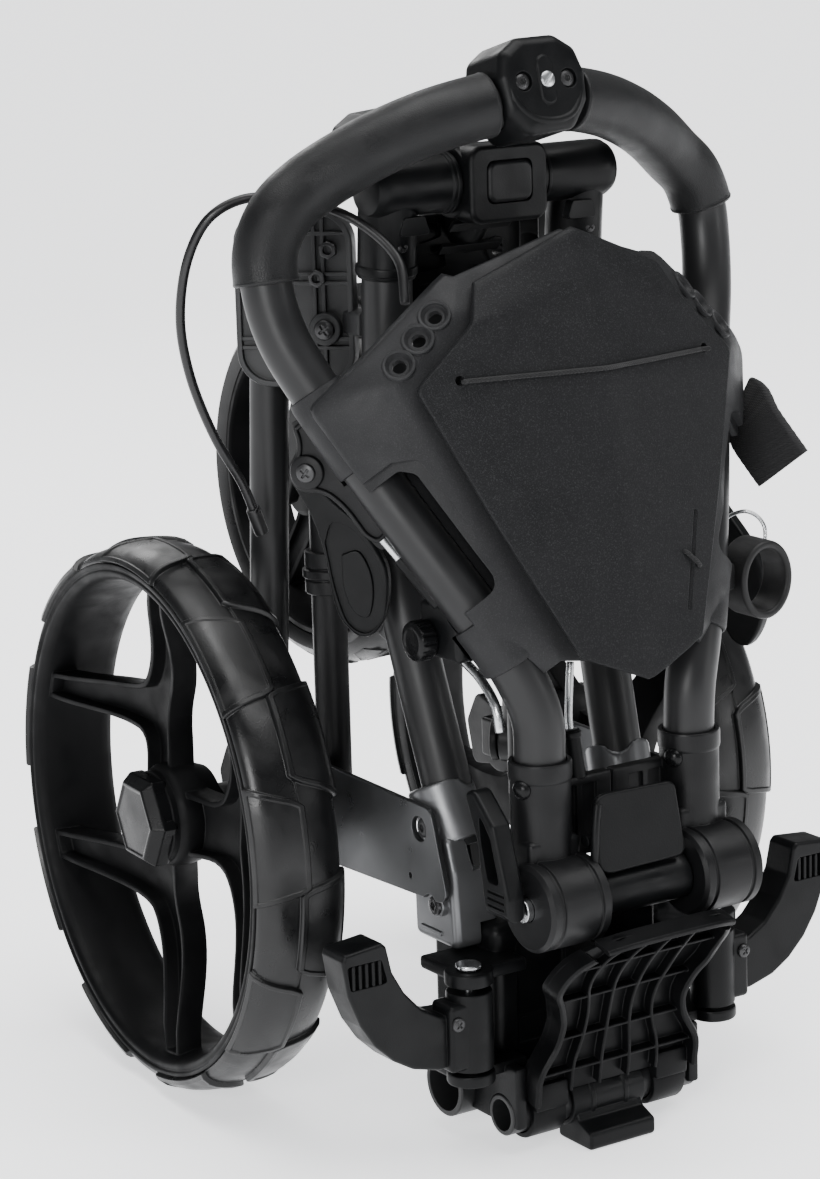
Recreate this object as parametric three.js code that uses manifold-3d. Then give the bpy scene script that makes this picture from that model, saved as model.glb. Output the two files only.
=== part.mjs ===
// Folded three-wheel golf push cart, standing upright on its rear wheels and a stand foot.
// Millimetres, +Z up, +X to the cart's own left-to-right width as seen from the front,
// -Y is the front (cover panel side), +Y the back (folded wheels).
import * as THREE from 'three';
import { mergeVertices } from 'three/addons/utils/BufferGeometryUtils.js';
import Module from 'manifold-3d';

const wasm = await Module();
wasm.setup();

// ---------------------------------------------------------------- driving dimensions
const SHIFT_Y = 59;              // puts the middle of the outer box over the origin
const TUBE_R = 12.5;             // frame and handle tube radius
const GRIP_R = 15.6;             // soft grip outer radius
const GAP = 0.35;                // running / assembly gap
const WHEEL_R = 145, RIM_R = 128, WHEEL_X0 = 104, WHEEL_X1 = 150, WHEEL_Z = 145;
const WHEEL_TOE = 3.5;           // degrees each rear wheel's leading edge stands out
const HINGE_Y = -226, HINGE_Z = 138, BARREL_R = 21.5;
const SOCK_X = 45, SOCK_Y = -212, SOCK_TOP = 206, SOCK_R = 16;
const T_Y = -114, T_Z = 472, T_R = 14.5, T_X = 72;
const BAR_Y = -190, BAR_Z = 21, BAR_R = 10.5;
const WING_X = 75, WING_Y = -191;
const LEG_X = -80, LEG_TOP = [-80, -38, 440], LEG_BOT = [-80, -17, 152];
const FW_R = 100, FW_Y = 38, FW_Z = 300;         // front wheel, folded between the rear pair

// ---------------------------------------------------------------- helpers
const V = (x, y, z) => new THREE.Vector3(x, y, z);
function clean(geo) {
  let g = geo.index ? geo.clone() : geo.clone();
  for (const k of Object.keys(g.attributes)) if (k !== 'position') g.deleteAttribute(k);
  g = mergeVertices(g, 1e-4);
  const ix = g.index.array, out = [];
  for (let i = 0; i < ix.length; i += 3) {
    const a = ix[i], b = ix[i + 1], c = ix[i + 2];
    if (a !== b && b !== c && c !== a) out.push(a, b, c);
  }
  g.setIndex(out);
  return g;
}
function solid(geo, m) {
  const g = clean(m ? geo.clone().applyMatrix4(m) : geo);
  return new wasm.Manifold(new wasm.Mesh({ numProp: 3,
    vertProperties: new Float32Array(g.attributes.position.array),
    triVerts: new Uint32Array(g.index.array) }));
}
function geometry(man) {
  const m = man.getMesh();
  const g = new THREE.BufferGeometry();
  const p = new Float32Array(m.numVert * 3);
  for (let i = 0; i < m.numVert; i++) for (let k = 0; k < 3; k++) p[i * 3 + k] = m.vertProperties[i * m.numProp + k];
  g.setAttribute('position', new THREE.BufferAttribute(p, 3));
  g.setIndex(Array.from(m.triVerts));
  g.computeVertexNormals();
  return g;
}
function mirror(man) {
  const g = geometry(man);
  const p = g.attributes.position;
  for (let i = 0; i < p.count; i++) p.setX(i, -p.getX(i));
  const ix = g.index.array, o = [];
  for (let i = 0; i < ix.length; i += 3) o.push(ix[i], ix[i + 2], ix[i + 1]);
  g.setIndex(o);
  return solid(g);
}
const join = (a, ...bs) => bs.reduce((x, y) => x.add(y), a);
const cut = (a, ...bs) => bs.reduce((x, y) => x.subtract(y), a);
function frameTo(a, b) {           // matrix taking local +Y to the direction a -> b, at the midpoint
  const A = V(...a), B = V(...b), d = B.clone().sub(A);
  const q = new THREE.Quaternion().setFromUnitVectors(V(0, 1, 0), d.clone().normalize());
  return [new THREE.Matrix4().compose(A.clone().add(B).multiplyScalar(0.5), q, V(1, 1, 1)), d.length()];
}
function cyl(a, b, r, seg = 12, r2 = r) {
  if (r < 7.5) seg = Math.min(seg, 10);
  const [m, L] = frameTo(a, b);
  return solid(new THREE.CylinderGeometry(r2, r, L, seg, 1), m);
}
function box(c, s, rot = [0, 0, 0]) {
  const m = new THREE.Matrix4().compose(V(...c), new THREE.Quaternion().setFromEuler(new THREE.Euler(...rot)), V(1, 1, 1));
  return solid(new THREE.BoxGeometry(...s), m);
}
function circle(r, n) {
  const s = new THREE.Shape();
  for (let i = 0; i <= n; i++) { const t = 2 * Math.PI * (i % n) / n; i ? s.lineTo(r * Math.cos(t), r * Math.sin(t)) : s.moveTo(r, 0); }
  return s;
}
function poly(pts) {
  const s = new THREE.Shape();
  pts.forEach((p, i) => i ? s.lineTo(p[0], p[1]) : s.moveTo(p[0], p[1]));
  s.closePath();
  return s;
}
const curve = (pts) => new THREE.CatmullRomCurve3(pts.map(p => V(...p)), false, 'centripetal');
function sweep(pts, r, seg = 12, steps = 30) {
  return solid(new THREE.ExtrudeGeometry(circle(r, seg), { steps, bevelEnabled: false, extrudePath: curve(pts) }));
}
function sub(pts, u0, u1, n = 14) {   // stretch of a curve between two fractions of its length
  const c = curve(pts), out = [];
  for (let i = 0; i <= n; i++) { const p = c.getPointAt(u0 + (u1 - u0) * i / n); out.push([p.x, p.y, p.z]); }
  return out;
}
function prism(pts, d, o, ex, ey) {   // outline in the (ex, ey) plane at o, thickness d along ex x ey, centred
  const X = V(...ex).normalize(), Z = X.clone().cross(V(...ey)).normalize(), Y = Z.clone().cross(X);
  const m = new THREE.Matrix4().makeBasis(X, Y, Z); m.setPosition(V(...o).addScaledVector(Z, -d / 2));
  return solid(new THREE.ExtrudeGeometry(poly(pts), { depth: d, bevelEnabled: false, curveSegments: 6 }), m);
}
function rounded(w, h, r, n = 4) {
  const o = [];
  for (const [cx, cy, a0] of [[w / 2 - r, h / 2 - r, 0], [-w / 2 + r, h / 2 - r, 90], [-w / 2 + r, -h / 2 + r, 180], [w / 2 - r, -h / 2 + r, 270]])
    for (let i = 0; i <= n; i++) { const t = (a0 + 90 * i / n) * Math.PI / 180; o.push([cx + r * Math.cos(t), cy + r * Math.sin(t)]); }
  return o;
}
function lathe(profile, seg, o, dir) {   // profile [radius, height] turned about the axis dir through o
  const q = new THREE.Quaternion().setFromUnitVectors(V(0, 1, 0), V(...dir).normalize());
  const m = new THREE.Matrix4().compose(V(...o), q, V(1, 1, 1));
  const pts = profile.map(p => new THREE.Vector2(p[0], p[1]));
  const g = new THREE.LatheGeometry(pts, seg);
  let s = solid(g, m);
  if (s.volume() < 0) { const h = geometryFlip(g); s = solid(h, m); }
  return s;
}
function geometryFlip(g) {
  const h = clean(g), ix = h.index.array, o = [];
  for (let i = 0; i < ix.length; i += 3) o.push(ix[i], ix[i + 2], ix[i + 1]);
  h.setIndex(o);
  return h;
}
function sheet(front, tris, off) {      // thick sheet: front vertices, triangles, offset of the back skin
  const n = front.length, pos = [];
  const offs = typeof off[0] === 'number' ? front.map(() => off) : off;
  front.forEach(p => pos.push(...p));
  front.forEach((p, i) => pos.push(p[0] + offs[i][0], p[1] + offs[i][1], p[2] + offs[i][2]));
  const ix = [], edges = new Map();
  for (const [a, b, c] of tris) {
    ix.push(a, b, c, a + n, c + n, b + n);
    for (const [p, q] of [[a, b], [b, c], [c, a]]) { if (edges.has(q + '_' + p)) edges.delete(q + '_' + p); else edges.set(p + '_' + q, [p, q]); }
  }
  for (const [p, q] of edges.values()) ix.push(q, p, p + n, q, p + n, q + n);
  const g = new THREE.BufferGeometry();
  g.setAttribute('position', new THREE.BufferAttribute(new Float32Array(pos), 3));
  g.setIndex(ix);
  let s = solid(g);
  if (s.volume() < 0) s = solid(geometryFlip(g));
  return s;
}
function toed(man) {                 // left wheel pieces, turned about the vertical through the wheel's middle
  const t = -WHEEL_TOE * Math.PI / 180;
  const m = new THREE.Matrix4().makeTranslation(-127, 0, 0).multiply(new THREE.Matrix4().makeRotationZ(t)).multiply(new THREE.Matrix4().makeTranslation(127, 0, 0));
  return solid(geometry(man), m);
}
const largest = (m) => m.decompose().reduce((a, b) => b.volume() > a.volume() ? b : a);
const group = new THREE.Group();
group.position.set(0, SHIFT_Y, 0);
const MAT = {
  tube: [0x3a3b3d, 0.42, 0.35], cast: [0x1d1e1f, 0.5, 0.1], satin: [0x2c2d2f, 0.35, 0.4], plate: [0x46484a, 0.35, 0.7],
  plastic: [0x1b1c1d, 0.6, 0], console: [0x3c3d3f, 0.7, 0], cover: [0x2a2b2c, 0.75, 0], rubber: [0x121314, 0.6, 0],
  grip: [0x1a1b1c, 0.7, 0], steel: [0xb8babd, 0.3, 0.9], rim: [0x161718, 0.45, 0], cap: [0x1c1d1e, 0.35, 0], web: [0x151617, 0.85, 0]
};
function put(name, man, mat) {
  const [c, r, m] = MAT[mat];
  const mesh = new THREE.Mesh(geometry(man), new THREE.MeshStandardMaterial({ color: c, roughness: r, metalness: m }));
  mesh.name = name;
  group.add(mesh);
}
function pair(name, left, mat) { put(name + '_left', left, mat); put(name + '_right', mirror(left), mat); }

// ---------------------------------------------------------------- chassis
// bent main tubes: inclined out of the lower brackets, upright into the top hinge
const mainPath = [[-51, -152, 150], [-53, -141, 186], [-56, -126, 235], [-58, -111, 285], [-58, -106, 318], [-57, -106, 360], [-56, -107, 410], [-56, -109, 452]];
pair('main_tube', sweep(mainPath, TUBE_R, 12, 7), 'tube');
const mainClear = sweep([[-50.3, -155.8, 137.6], ...mainPath, [-56, -110, 470]], TUBE_R + GAP, 12, 9);

// base moulding that everything at the bottom is fixed to
let base = join(box([0, -152, 76], [104, 56, 76]),
  box([0, -192, 118], [33, 58, 22]),
  cyl([-27, HINGE_Y, HINGE_Z], [27, HINGE_Y, HINGE_Z], 12, 12), box([0, -219, 130], [33, 14, 10]),
  box([0, -165, 32], [80, 22, 20]));
for (const s of [-1, 1]) base = join(base,
  box([s * 62, -176, 97.5], [40, 36, 7]), cyl([s * WING_X, WING_Y, 94], [s * WING_X, WING_Y, 101], 12, 12),
  box([s * 62, -178, 46.5], [40, 30, 6]), cyl([s * WING_X, WING_Y, 43.5], [s * WING_X, WING_Y, 49.5], 12, 12),
  box([s * 53.2, -182, 32], [6.4, 42, 32]));
base = cut(base, cyl([-80, HINGE_Y, HINGE_Z], [80, HINGE_Y, HINGE_Z], 6 + GAP, 12),
  cyl([-70, -150, 26], [70, -150, 26], 16 + GAP, 14),
  cyl([-70, BAR_Y, BAR_Z], [70, BAR_Y, BAR_Z], BAR_R + GAP, 12));
for (const s of [-1, 1]) base = cut(base, cyl([s * WING_X, WING_Y, 30], [s * WING_X, WING_Y, 110], 4 + GAP, 12));
put('base_moulding', base, 'plastic');

// lower brackets: cast sockets with two bolt bosses each
let lb = join(cyl([-51.4, -151, 152], [-55.0, -139.0, 180], 16.5, 12),
  prism([[-22, -44], [16, -44], [17, -4], [14, 30], [-14, 30], [-19, 0]], 26, [-54, -148, 146], [0, 1, 0], [0, 0.06, 1]));
lb = cut(lb, mainClear, box([0, -152, 76], [104.7, 56.7, 76.7]));
lb = join(lb, cyl([-71, -150, 162], [-66, -150, 162], 6, 14), cyl([-71, -158, 124], [-66, -158, 124], 6, 14));
pair('lower_bracket', lb, 'satin');

// side plates running back from the brackets to the rear stays
const plate = cut(prism([[-24, -22], [88, -26], [102, -10], [102, 16], [90, 26], [-10, 24]], 3, [-73, -150, 150], [0, 1, 0], [0, 0, 1]),
  cyl([-80, -150, 162], [-60, -150, 162], 6.5, 14), cyl([-80, -158, 124], [-60, -158, 124], 6.5, 14));
pair('side_plate', plate, 'plate');

// rear stays with a telescoping collar
let stay = join(cyl([-60, -50, 132], [-60, -51, 372], 9, 12), cyl([-60, -50.6, 262], [-60, -50.6, 284], 12, 12),
  cyl([-60, -50.6, 270], [-60, -50.6, 275], 13.2, 12), box([-65, -50, 146], [13, 20, 24]));
pair('rear_stay', stay, 'tube');

// ribbed leg brackets, turned 45 degrees, clamped on the stays; each carries its leg's pivot pin
const D = [0.7071, -0.7071, 0], N = [0.7071, 0.7071, 0];
const along = (p, k, d = N) => [p[0] + d[0] * k, p[1] + d[1] * k, p[2] + d[2] * k];
const BR = [-80, -62, 416];
let br = join(prism(rounded(60, 88, 17, 2), 5, BR, D, [0, 0, 1]),
  cut(prism(rounded(60, 88, 17, 2), 11, BR, D, [0, 0, 1]), prism(rounded(54.4, 82.4, 14.5, 2), 12, BR, D, [0, 0, 1])));
for (const h of [-20, 12]) br = join(br, prism([[-28.5, h - 1.4], [28.5, h - 1.4], [28.5, h + 1.4], [-28.5, h + 1.4]], 10, BR, D, [0, 0, 1]));
br = join(br, prism([[9, -42], [12, -42], [12, 42], [9, 42]], 10, BR, D, [0, 0, 1]), cyl(along([-69, -73, 401], -6), along([-69, -73, 401], 4), 6.5, 12));
br = join(br, box([-63, -60, 384], [22, 28, 22]), box([-58, -75, 404], [14, 40, 12]));
br = cut(br, cyl([-60, -50, 120], [-60, -51, 372.4], 9 + GAP, 12), mainClear);
br = join(br, cyl(along(LEG_TOP, -18), along(LEG_TOP, 13), 5, 14));
pair('leg_bracket', br, 'plastic');

// ---------------------------------------------------------------- rear legs, wheel carriers, wheels
let leg = join(cyl([-80, -38, 440], LEG_BOT, 10, 12), cyl(along(LEG_TOP, -10.5), along(LEG_TOP, 10.5), 12, 12), cyl(along(LEG_BOT, -10.5), along(LEG_BOT, 10.5), 12, 12));
leg = cut(leg, cyl(along(LEG_TOP, -30), along(LEG_TOP, 30), 5 + GAP, 14), cyl(along(LEG_BOT, -30), along(LEG_BOT, 30), 5 + GAP, 14));
pair('leg_tube', leg, 'tube');
let car = join(cyl(along(LEG_BOT, -17), along(LEG_BOT, 17), 5, 14), cyl(along(LEG_BOT, 11), along(LEG_BOT, 15), 12, 12),
  prism([[-16, -14], [18, -20], [24, 4], [14, 22], [-10, 14]], 6, [-80, 6, 150], [0, 1, 0], [0, 0, 1]),
  box([-77, -2, 150], [10, 22, 22]),
  cyl([-86, 0, WHEEL_Z], [-77, 0, WHEEL_Z], 15, 14), cyl([-102.4, 0, WHEEL_Z], [-80, 0, WHEEL_Z], 11, 12),
  toed(cyl([-142, 0, WHEEL_Z], [-100, 0, WHEEL_Z], 6, 12)));
car = cut(car, cyl(along(LEG_BOT, -10.8), along(LEG_BOT, 10.8), 12.9, 16));
car = join(car, cyl(along(LEG_BOT, -17), along(LEG_BOT, 14), 5, 14));
car = join(car, cyl(along(LEG_BOT, -17.5), along(LEG_BOT, -11.2), 8, 12));
pair('wheel_carrier', car, 'cast');

// tyre: hollow of section at the crown, shouldered; rim with a deep well and five channel spokes
function wheelTyre(x0, x1, R, ri) {
  const w = x1 - x0, m = (x0 + x1) / 2;
  return lathe([[ri, -w / 2 + 1], [ri + 6, -w / 2], [R - 9, -w / 2 + 1.5], [R, -w / 4 + 1], [R, w / 4 - 1], [R - 9, w / 2 - 1.5], [ri + 6, w / 2], [ri, w / 2 - 1], [ri, -w / 2 + 1]], 32, [-m, 0, WHEEL_Z], [-1, 0, 0]);
}
const tyreL = toed(wheelTyre(WHEEL_X0, WHEEL_X1, WHEEL_R, RIM_R));
put('tyre_left', tyreL, 'rubber');
put('tyre_right', mirror(tyreL), 'rubber');
function wheelRim() {
  const xm = -(WHEEL_X0 + WHEEL_X1) / 2, w = WHEEL_X1 - WHEEL_X0 - 3;
  const ro = RIM_R - GAP;
  let r = lathe([[ro, -w / 2], [ro, w / 2], [ro - 5, w / 2], [ro - 7, w / 2 - 6], [ro - 10, -w / 2 + 12], [ro - 6, -w / 2 + 2], [ro - 5, -w / 2], [ro, -w / 2]], 32, [xm, 0, WHEEL_Z], [-1, 0, 0]);
  r = join(r, lathe([[0, -19], [22, -19], [27, -6], [25, 10], [0, 10]], 16, [xm, 0, WHEEL_Z], [-1, 0, 0]));
  for (let i = 0; i < 3; i++) {          // three Y-shaped spokes
    const a = (61 + 120 * i) * Math.PI / 180, o = [xm + 3, 0, WHEEL_Z];
    const e = [0, Math.cos(a), Math.sin(a)], f = [0, -Math.sin(a), Math.cos(a)];
    r = join(r, prism([[16, -17], [62, -14], [70, 0], [62, 14], [16, 17]], 20, o, e, f));
    for (const s of [-1, 1]) {
      const p = [56, 3 * s], q = [(ro - 5) * Math.cos(0.68), s * (ro - 5) * Math.sin(0.68)], L = Math.hypot(q[0] - p[0], q[1] - p[1]);
      const n = [-(q[1] - p[1]) / L, (q[0] - p[0]) / L];
      r = join(r, prism([[p[0] + 11 * n[0], p[1] + 11 * n[1]], [p[0] - 11 * n[0], p[1] - 11 * n[1]], [q[0] - 7 * n[0], q[1] - 7 * n[1]], [q[0] + 7 * n[0], q[1] + 7 * n[1]]], 20, o, e, f));
    }
  }
  r = cut(r, cyl([xm - 40, 0, WHEEL_Z], [xm + 40, 0, WHEEL_Z], 6 + GAP, 12));
  r = cut(r, cyl([-103.7, 0, WHEEL_Z], [-90, 0, WHEEL_Z], 26, 12));
  return r;
}
pair('wheel_rim', toed(wheelRim()), 'rim');
pair('hub_cap', toed(cut(lathe([[0, 0], [26, 0], [26, 8], [20, 15], [0, 17]], 6, [-137.6, 0, WHEEL_Z], [-1, 0, 0]), cyl([-143, 0, WHEEL_Z], [-130, 0, WHEEL_Z], 6.4, 12))), 'cap');

// ---------------------------------------------------------------- top hinge, front arm and front wheel
let th = join(cyl([-T_X, T_Y, T_Z], [-24, T_Y, T_Z], T_R, 14), cyl([-56, -107.4, 428], [-56, -111, T_Z], 14.4, 12));
th = cut(th, mainClear, cyl([-60, T_Y, T_Z], [0, T_Y, T_Z], 5 + GAP, 12));
pair('top_hinge_socket', th, 'cast');
put('top_hinge_pin', cyl([-59.5, T_Y, T_Z], [59.5, T_Y, T_Z], 5, 12), 'steel');
let arm = join(cyl([-23.4, T_Y, T_Z], [23.4, T_Y, T_Z], 18, 14), prism(rounded(46, 38, 6, 3), 18, [0, T_Y - 11, T_Z - 1], [1, 0, 0], [0, 0, 1]),
  cyl([0, -104, 462], [0, -52, 404], 12.5, 12), box([0, -47, 402], [71, 44, 16], [0.25, 0, 0]));
for (const s of [-1, 1]) arm = join(arm, prism([[-70, 98], [-46, 112], [0, 12], [10, -4], [2, -12], [-10, -8], [-16, 4]], 7, [s * 32, FW_Y, FW_Z], [0, 1, 0], [0, 0, 1]));
arm = cut(arm, cyl([-60, T_Y, T_Z], [60, T_Y, T_Z], 5 + GAP, 12), prism(rounded(27, 21, 4, 3), 16, [0, T_Y - 16, T_Z], [1, 0, 0], [0, 0, 1]));
arm = join(arm, cyl([-36, FW_Y, FW_Z], [36, FW_Y, FW_Z], 6, 12));
put('front_arm', arm, 'cast');
put('fold_button', prism(rounded(26.2, 20.2, 3.8, 3), 9.5, [0, T_Y - 16.5, T_Z], [1, 0, 0], [0, 0, 1]), 'satin');
put('front_tyre', lathe([[FW_R - 16, -18], [FW_R - 9, -20], [FW_R - 3, -13], [FW_R, -5], [FW_R, 5], [FW_R - 3, 13], [FW_R - 9, 20], [FW_R - 16, 18], [FW_R - 16, -18]], 28, [0, FW_Y, FW_Z], [-1, 0, 0]), 'rubber');
{
  const ro = FW_R - 16 - GAP;
  let r = lathe([[ro, -17], [ro, 17], [ro - 5, 17], [ro - 8, 0], [ro - 5, -17], [ro, -17]], 28, [0, FW_Y, FW_Z], [-1, 0, 0]);
  r = join(r, cyl([-22, FW_Y, FW_Z], [22, FW_Y, FW_Z], 18, 12));
  for (let i = 0; i < 5; i++) {
    const a = (20 + 72 * i) * Math.PI / 180;
    r = join(r, prism([[14, -12], [ro - 5, -8], [ro - 5, 8], [14, 12]], 12, [0, FW_Y, FW_Z], [0, Math.cos(a), Math.sin(a)], [0, -Math.sin(a), Math.cos(a)]));
  }
  put('front_rim', cut(r, cyl([-40, FW_Y, FW_Z], [40, FW_Y, FW_Z], 6 + GAP, 12)), 'rim');
}

// ---------------------------------------------------------------- lower end: cross tube, foot bar, stand foot, foot plate, wings
const crossTube = cut(cyl([-64, -150, 26], [64, -150, 26], 16, 14), cyl([-80, -150, 26], [80, -150, 26], 13, 14));
put('cross_tube', crossTube, 'tube');
put('foot_bar', cut(cyl([-57, BAR_Y, BAR_Z], [57, BAR_Y, BAR_Z], BAR_R, 12), cyl([-80, BAR_Y, BAR_Z], [80, BAR_Y, BAR_Z], 8, 12)), 'tube');
put('hinge_pin', join(cyl([-67.65, HINGE_Y, HINGE_Z], [66, HINGE_Y, HINGE_Z], 6, 12), cyl([64.4, HINGE_Y, HINGE_Z], [69, HINGE_Y, HINGE_Z], 10, 6)), 'steel');
let foot = join(cyl([-22, BAR_Y, BAR_Z], [22, BAR_Y, BAR_Z], 13.2, 12), prism([[-8, 4], [12, 4], [10, -8], [4, -15], [4, -21], [-24, -21], [-24, -12], [-14, -8]], 40, [0, BAR_Y, BAR_Z], [0, 1, 0], [0, 0, 1]));
foot = cut(foot, cyl([-80, BAR_Y, BAR_Z], [80, BAR_Y, BAR_Z], BAR_R + GAP, 12), box([0, -152, 76], [104.7, 56.7, 76.7]), box([0, -165, 32], [80.7, 22.7, 20.7]));
put('stand_foot', foot, 'plastic');
{
  // curled foot plate: side profile (y, z) swept across the width, flange and ribs facing forward
  const prof = [[-201, 30], [-203, 46], [-208, 71], [-217, 92], [-236, 112], [-254, 124]];
  const half = [[50, 30], [50, 46], [40, 62], [38, 72], [42, 84], [48, 92], [47, 108], [34, 122], [0, 126]];
  const yAt = z => { for (let i = 1; i < prof.length; i++) if (z <= prof[i][1]) { const [y0, z0] = prof[i - 1], [y1, z1] = prof[i]; return y0 + (y1 - y0) * (z - z0) / (z1 - z0); } return prof[5][0] + (prof[5][1] - z) * 1.2; };
  const zs = [30, 46, 62, 72, 84, 92, 108, 122, 124];
  const hw = z => { for (let i = 1; i < half.length; i++) if (z <= half[i][1]) { const [w0, z0] = half[i - 1], [w1, z1] = half[i]; return z1 === z0 ? w1 : w0 + (w1 - w0) * (z - z0) / (z1 - z0); } return 20; };
  const slab = (f0, f1, th) => {            // strip between two half-width fractions, extruded along the plate's depth
    const fr = [], tr = [], of = [];
    zs.forEach(z => { const w = hw(z); for (const f of [f0, f1]) { fr.push([f * w, yAt(z), z]); of.push([0, th, 0]); } });
    for (let i = 0; i < zs.length - 1; i++) { const a = 2 * i; tr.push([a, a + 1, a + 3], [a, a + 3, a + 2]); }
    return sheet(fr, tr, of);
  };
  let fp = slab(-1, 1, 4);
  for (const [f0, f1] of [[-1, -0.93], [0.93, 1]]) fp = join(fp, slab(f0, f1, -9));
  for (const [x, z1] of [[-19, 121], [19, 121]]) {
    const zz = [32, ...zs.filter(z => z > 32 && z < z1), z1];
    fp = join(fp, prism([...zz.map(z => [yAt(z) - 9, z]), ...zz.slice().reverse().map(z => [yAt(z) + 1, z])], 3, [x, 0, 0], [0, 1, 0], [0, 0, 1]));
  }
  for (const z of [54, 92]) { const w = hw(z) * 0.97; fp = join(fp, box([0, yAt(z) - 3, z], [2 * w, 11, 2.6])); }
  for (const s of [-1, 1]) fp = join(fp, box([s * 37, -200, 31], [20, 12, 14]), cyl([s * 27, BAR_Y, BAR_Z], [s * 47, BAR_Y, BAR_Z], 14, 12));
  fp = cut(fp, cyl([-22.5, BAR_Y, BAR_Z], [22.5, BAR_Y, BAR_Z], 13.8, 12), cyl([-80, BAR_Y, BAR_Z], [80, BAR_Y, BAR_Z], BAR_R + 0.8, 16));
  put('foot_plate', largest(fp), 'plastic');
}
{
  // cradle arm: barrel on the vertical pin, curved claw out to a slotted tip
  const claw = [[-78, 57], [-96, 55], [-111, 59], [-122, 65.5], [-132, 75], [-140, 87], [-146.5, 103], [-149.5, 121], [-148, 124.5],
    [-127, 126.5], [-124.5, 124], [-121.5, 110.5], [-115, 99], [-105.5, 88.5], [-95, 82.5], [-78, 81]];
  let w = prism(claw, 20, [0, -186, 0], [1, 0, 0], [0, 0, 1]);
  w = join(w, cyl([-WING_X, WING_Y, 51], [-WING_X, WING_Y, 91], 11.5, 12), box([-84, -191, 70], [16, 18, 34]));
  w = cut(w, box([-136.5, -197, 112], [18, 8, 13]), cyl([-WING_X, WING_Y, 40], [-WING_X, WING_Y, 110], 4 + GAP, 12));
  pair('cradle_arm', w, 'plastic');
  pair('cradle_pin', cyl([-WING_X, WING_Y, 44], [-WING_X, WING_Y, 103], 4, 12), 'steel');
}

// ---------------------------------------------------------------- handle assembly
const loopL = [[-45, SOCK_Y, 176], [-45, SOCK_Y, 206], [-46, SOCK_Y, 226], [-54, -207, 250], [-70, -192, 282], [-88, -172, 318], [-102, -155, 348], [-116, -138, 380], [-127, -126, 407], [-131, -120, 430], [-130, -118, 449], [-122, -119, 465], [-109, -121, 476], [-89, -130, 489], [-66, -139, 500], [-40, -147, 508]];
const loop = [...loopL, [0, -152, 513], ...loopL.slice().reverse().map(p => [-p[0], p[1], p[2]])];
const LOOP_STEPS = 44;
put('handle_tube', sweep(loop, TUBE_R, 10, LOOP_STEPS), 'tube');
const loopClear = sweep(loop, TUBE_R + GAP, 10, LOOP_STEPS);
const gripOn = (u0, u1, n) => cut(sweep(sub(loop, u0, u1, n), GRIP_R, 10, n), loopClear);
put('grip_left', gripOn(0.315, 0.465, 9), 'grip');
put('grip_right', gripOn(0.535, 0.668, 8), 'grip');
put('clamp_block', cut(solid(new THREE.ExtrudeGeometry(poly([[-25, 8], [-17, 24], [14, 25], [25, 12], [25, -6], [14, -22], [-14, -24], [-25, -12]]), { depth: 26, bevelEnabled: true, bevelThickness: 6, bevelSize: 5, bevelOffset: -5, bevelSegments: 1 }),
  new THREE.Matrix4().makeBasis(V(1, 0, 0), V(0, 0.25, 0.968).normalize(), V(0, -0.968, 0.25).normalize()).setPosition(0, -138, 512)), loopClear), 'cast');

let sk = join(cyl([-SOCK_X, SOCK_Y, 140], [-SOCK_X, SOCK_Y, SOCK_TOP], SOCK_R, 12), cyl([-64, HINGE_Y, HINGE_Z], [-28, HINGE_Y, HINGE_Z], BARREL_R, 20),
  box([-SOCK_X, -216, 156], [30, 16, 26]), cyl([-62.5, -214, 192], [-58, -214, 192], 5, 12), box([-20, -206, 172], [39.4, 7, 40]));
sk = cut(sk, cyl([-80, HINGE_Y, HINGE_Z], [80, HINGE_Y, HINGE_Z], 6 + GAP, 12), cyl([-SOCK_X, SOCK_Y, 175.6], [-SOCK_X, SOCK_Y, 210], TUBE_R + GAP + 0.6, 16));
pair('handle_socket', sk, 'cast');

// pull latch between the sockets
let pl = join(prism([[-23, -18], [23, -18], [22, 19], [-21, 19]], 4, [0, -231, 168], [1, 0, 0], [0, 0.2, 1]), box([0, -227, 164], [40, 8, 6]), cyl([-27.5, -223, 164], [27.5, -223, 164], 3.2, 12));
put('pull_latch', pl, 'plastic');

// quick-release lever at the left end of the hinge pin
let lv = join(prism([[-9, -8], [-9, 6], [2, 40], [18, 55], [26, 52], [16, 30], [12, 4], [8, -9]], 11, [-73.5, -222, 140], [0, 1, 0], [0, 0, 1]));
lv = cut(lv, prism([[-3, 12], [4, 34], [14, 46], [12, 30], [7, 12]], 14, [-77, -222, 140], [0, 1, 0], [0, 0, 1]));
lv = cut(lv, cut(box([-73.5, -222, 129.9], [14, 40, 20]), cyl([-73.5, -250, 140], [-73.5, -194, 140], 5.4, 16)));
put('cam_lever', lv, 'plastic');

// ---------------------------------------------------------------- cover and console
// V-shaped front cover with a central ridge; thickness runs back along +Y
const CV = { rt: [0, -196, 454], rb: [0, -242, 243], tl: [-58, -178, 436], kl: [-67, -189, 419], wl: [-94, -188, 387], ml: [-66, -212, 322], bl: [-36, -236, 258], m1: [0, -211, 387], m2: [0, -226, 318] };
const mx = p => [-p[0], p[1], p[2]];
{
  const F = [CV.rt, CV.m1, CV.m2, CV.rb, CV.tl, CV.kl, CV.wl, CV.ml, CV.bl, mx(CV.tl), mx(CV.kl), mx(CV.wl), mx(CV.ml), mx(CV.bl)];
  const half = (t, k, w, m, b) => [[0, t, k], [0, k, 1], [1, k, w], [1, w, 2], [2, w, m], [2, m, 3], [3, m, b]];
  const T = [...half(4, 5, 6, 7, 8), ...half(9, 10, 11, 12, 13).map(([a, b, c]) => [a, c, b])];
  put('cover_panel', sheet(F, T, [0, 3.5, 0]), 'cover');
}
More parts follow.
